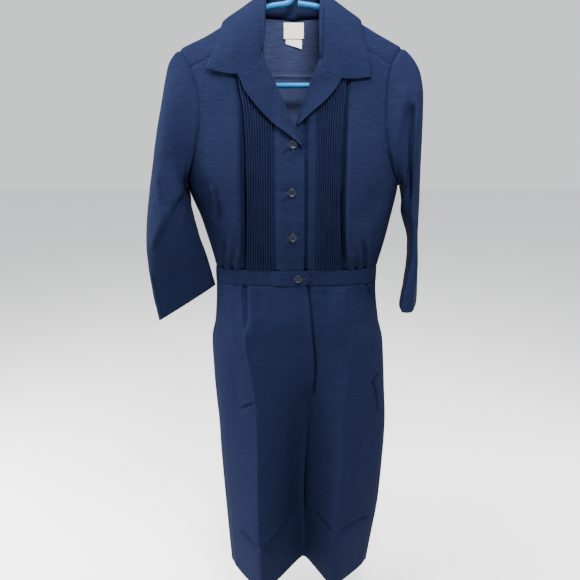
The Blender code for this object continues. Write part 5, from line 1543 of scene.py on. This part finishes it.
def make_hanger(surface):
    reach = HOOK_INSIDE + TUBE_RADIUS
    turns = np.radians(np.linspace(HOOK_FROM, HOOK_TO, HOOK_STEPS))
    hook = [(reach * math.cos(turn), reach * math.sin(turn) - HOOK_INSIDE) for turn in turns]
    path = [*HANGER_NECK]
    path += [(x, arm_height(x)) for x in np.linspace(*ARM_RIGHT, ARM_STEPS)]
    path += hanger_end(-1, END_RIGHT)
    path += [(x, BAR_HEIGHT) for x in BAR_POINTS]
    path += hanger_end(1, END_LEFT)[::-1]
    path += [(x, arm_height(x)) for x in np.linspace(*ARM_LEFT, ARM_STEPS)]
    path = [*hook, *rounded([*path, HANGER_NECK_END])]
    return tube("hanger_tube", [[(x, 0.0, z) for x, z in path]], TUBE_RADIUS, surface, resolution=7)


# Materials


class Material:
    """A material with its one shader, and a short way to add nodes that feed it."""

    def __init__(self, name, roughness, gloss):
        self.made = bpy.data.materials.new(name)
        self.made.use_nodes = True
        self.tree = self.made.node_tree
        self.shader = self.tree.nodes["Principled BSDF"]
        self.shader.inputs["Roughness"].default_value = roughness
        self.shader.inputs["Specular IOR Level"].default_value = gloss
        self.where = self.add("TexCoord").outputs["Object"]

    def add(self, kind, values=None, feeds=None, **settings):
        """A node with values and links on its inputs."""
        node = self.tree.nodes.new("ShaderNode" + kind)
        for key, value in settings.items():
            setattr(node, key, value)
        for key, value in (values or {}).items():
            node.inputs[key].default_value = value
        for key, output in (feeds or {}).items():
            self.tree.links.new(output, node.inputs[key])
        return node

    def noise(self, scale, detail, vector=None):
        """A noise over the object's own coordinates."""
        values = {"Scale": scale, "Detail": detail}
        return self.add("TexNoise", values, {"Vector": vector or self.where}).outputs["Fac"]

    def colour(self, factor, colour, spread):
        """Drives the base colour by a factor, between two shades of one colour."""
        ramp = self.add("ValToRGB", feeds={"Fac": factor})
        for element, place, share in zip(ramp.color_ramp.elements, RAMP_PLACES, (1 - spread, 1 + spread)):
            element.position = place
            element.color = (*[c * share for c in colour], 1)
        self.tree.links.new(ramp.outputs["Color"], self.shader.inputs["Base Color"])

    def bump(self, height, strength, distance):
        bump = self.add("Bump", {"Strength": strength, "Distance": distance}, {"Height": height})
        self.tree.links.new(bump.outputs["Normal"], self.shader.inputs["Normal"])


def cloth_material(name, colour, spread, bump_strength):
    """A woven cloth: slubs, which are thicker threads that run across it in short lengths, and a weave."""
    cloth = Material(name, roughness=0.88, gloss=0.03)
    stretch = cloth.add("Mapping", {"Scale": SLUB_SCALE}, {"Vector": cloth.where})
    slubs = cloth.noise(1.0, 2.0, stretch.outputs["Vector"])
    shades = cloth.add("Mix", {"Factor": SLUB_SHARE}, {"A": cloth.noise(480.0, 4.0), "B": slubs})
    cloth.colour(shades.outputs["Result"], colour, spread)
    weave = []
    for axis, size in THREADS:
        values = {"Scale": 1 / (size * 20), "Distortion": 1.2, "Detail": 1.0}
        bands = {"wave_type": "BANDS", "bands_direction": axis}
        weave.append(cloth.add("TexWave", values, {"Vector": cloth.where}, **bands).outputs["Fac"])
    crossed = cloth.add("Math", feeds=dict(enumerate(weave)), operation="MULTIPLY").outputs[0]
    grain = {0: crossed, 1: cloth.noise(900.0, 3.0)}
    cloth.bump(cloth.add("Math", feeds=grain, operation="ADD").outputs[0], bump_strength, 0.0003)
    return cloth.made


def plain_material(name, colour, roughness, spread, scale, bump_size, gloss=0.3):
    plain = Material(name, roughness, gloss)
    plain.colour(plain.noise(scale, 4.0), colour, spread)
    plain.bump(plain.noise(scale * 2, 3.0), 0.25, bump_size)
    return plain.made


# Scene


def place_camera():
    data = bpy.data.cameras.new("camera")
    data.sensor_width = SENSOR
    data.lens = SENSOR * FOCAL_PIXELS / PHOTO_WIDTH
    camera = linked("camera", data)
    camera.location = CAMERA_PLACE
    camera.rotation_euler = (math.radians(90 - CAMERA_DOWN), 0, 0)
    bpy.context.scene.camera = camera


def place_lights():
    for name, place, aim, size, power, colour in LIGHTS:
        data = bpy.data.lights.new(name, "AREA")
        data.shape = "RECTANGLE"
        data.size, data.size_y = size
        data.energy = power
        data.color = colour
        light = linked(name, data)
        light.location = place
        light.rotation_euler = (Vector(aim) - Vector(place)).to_track_quat("-Z", "Y").to_euler()
    world = bpy.data.worlds.new("studio")
    world.use_nodes = True
    shade = world.node_tree.nodes["Background"]
    shade.inputs["Color"].default_value = WORLD_COLOUR
    shade.inputs["Strength"].default_value = WORLD_STRENGTH
    bpy.context.scene.world = world


def place_floor():
    corners = [(x * FLOOR_REACH, y * FLOOR_REACH, FLOOR) for x, y in ((-1, -1), (1, -1), (1, 1), (-1, 1))]
    paint = plain_material("floor_paint", FLOOR_COLOUR, 0.8, 0.01, 3.0, 0.0005)
    mesh_object("floor", corners, [(0, 1, 2, 3)], paint)


def dress(piece, node):
    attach(piece, "root")
    if node:
        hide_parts(node)


def main():
    place_camera()
    place_lights()
    place_floor()
    cloth = cloth_material("navy_polyester", CLOTH_COLOUR, 0.28, 0.45)
    # The inside material is the navy lightened as painted light; its crepe grain is the cloth's own
    inside = cloth_material("navy_crepe_reverse_painted_light", REVERSE_PAINTED_LIGHT_COLOUR, 0.32, 0.8)
    thread = plain_material("navy_thread", [c * 0.8 for c in CLOTH_COLOUR], 0.6, 0.2, 900.0, 0.0001)
    plastic = plain_material("dark_button", BUTTON_COLOUR, 0.34, 0.25, 160.0, 0.00005, 0.14)
    # Near-black rims in the buttons' holes: painted shade
    hole_shade = plain_material("button_shadow", HOLE_SHADE_COLOUR, 0.8, 0.1, 300.0, 0.00005)
    blue = plain_material("blue_plastic", HANGER_BLUE, 0.42, 0.05, 60.0, 0.00008, 0.15)
    cream = plain_material("cream_tape", LABEL_CREAM, 0.7, 0.05, 1500.0, 0.0001)
    white = plain_material("white_tape", LABEL_WHITE, 0.65, 0.03, 1500.0, 0.0001)

    pieces = {}
    pieces["yoke"], yoke_reverse = make_yoke(cloth, inside)
    pieces["bodice_front_right"], pieces["bodice_front_left"] = make_fronts(cloth)
    pieces["tuck_panel_right"], pieces["tuck_panel_left"] = make_tucks(cloth)
    pieces["placket_right"], pieces["placket_left"] = make_plackets(cloth)
    pieces["bodice_back"], back_reverse = make_back(cloth, inside)
    sleeves = [(SLEEVE_RIGHT, SLEEVE_RIGHT_FOLDS), (SLEEVE_LEFT, SLEEVE_LEFT_FOLDS)]
    for (name, side, armhole, _), (table, table_folds) in zip(SIDES, sleeves):
        pieces[f"sleeve_{name}"] = make_sleeve(name, armhole, table, side, table_folds, cloth)
    pieces["waistband"] = make_waistband(cloth)
    pieces["skirt_front_right"], pieces["skirt_front_left"], pieces["skirt_back"] = make_skirt(cloth)
    pieces["collar"] = make_collar(cloth)
    pieces["lapel_right"], pieces["lapel_left"] = make_lapels(cloth)
    for node, piece in pieces.items():
        dress(piece, node)
    dress(yoke_reverse, "yoke")
    dress(back_reverse, "bodice_back")
    for piece, n in make_buttons(plastic, thread, hole_shade):
        dress(piece, f"button_{n}")
    for piece in make_buttonholes(thread):
        dress(piece, None)
    pieces["neck_label"], pieces["care_label"] = make_labels((cream, white))
    dress(pieces["neck_label"], "neck_label")
    dress(pieces["care_label"], "care_label")
    pieces["hanger"] = make_hanger(blue)
    dress(pieces["hanger"], "hanger")
    reverses = {"yoke": [yoke_reverse], "bodice_back": [back_reverse]}
    for node, (wide, long, area, held_by) in SHEETS.items():
        with_it = reverses.get(node, [])
        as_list(with_it)


main()
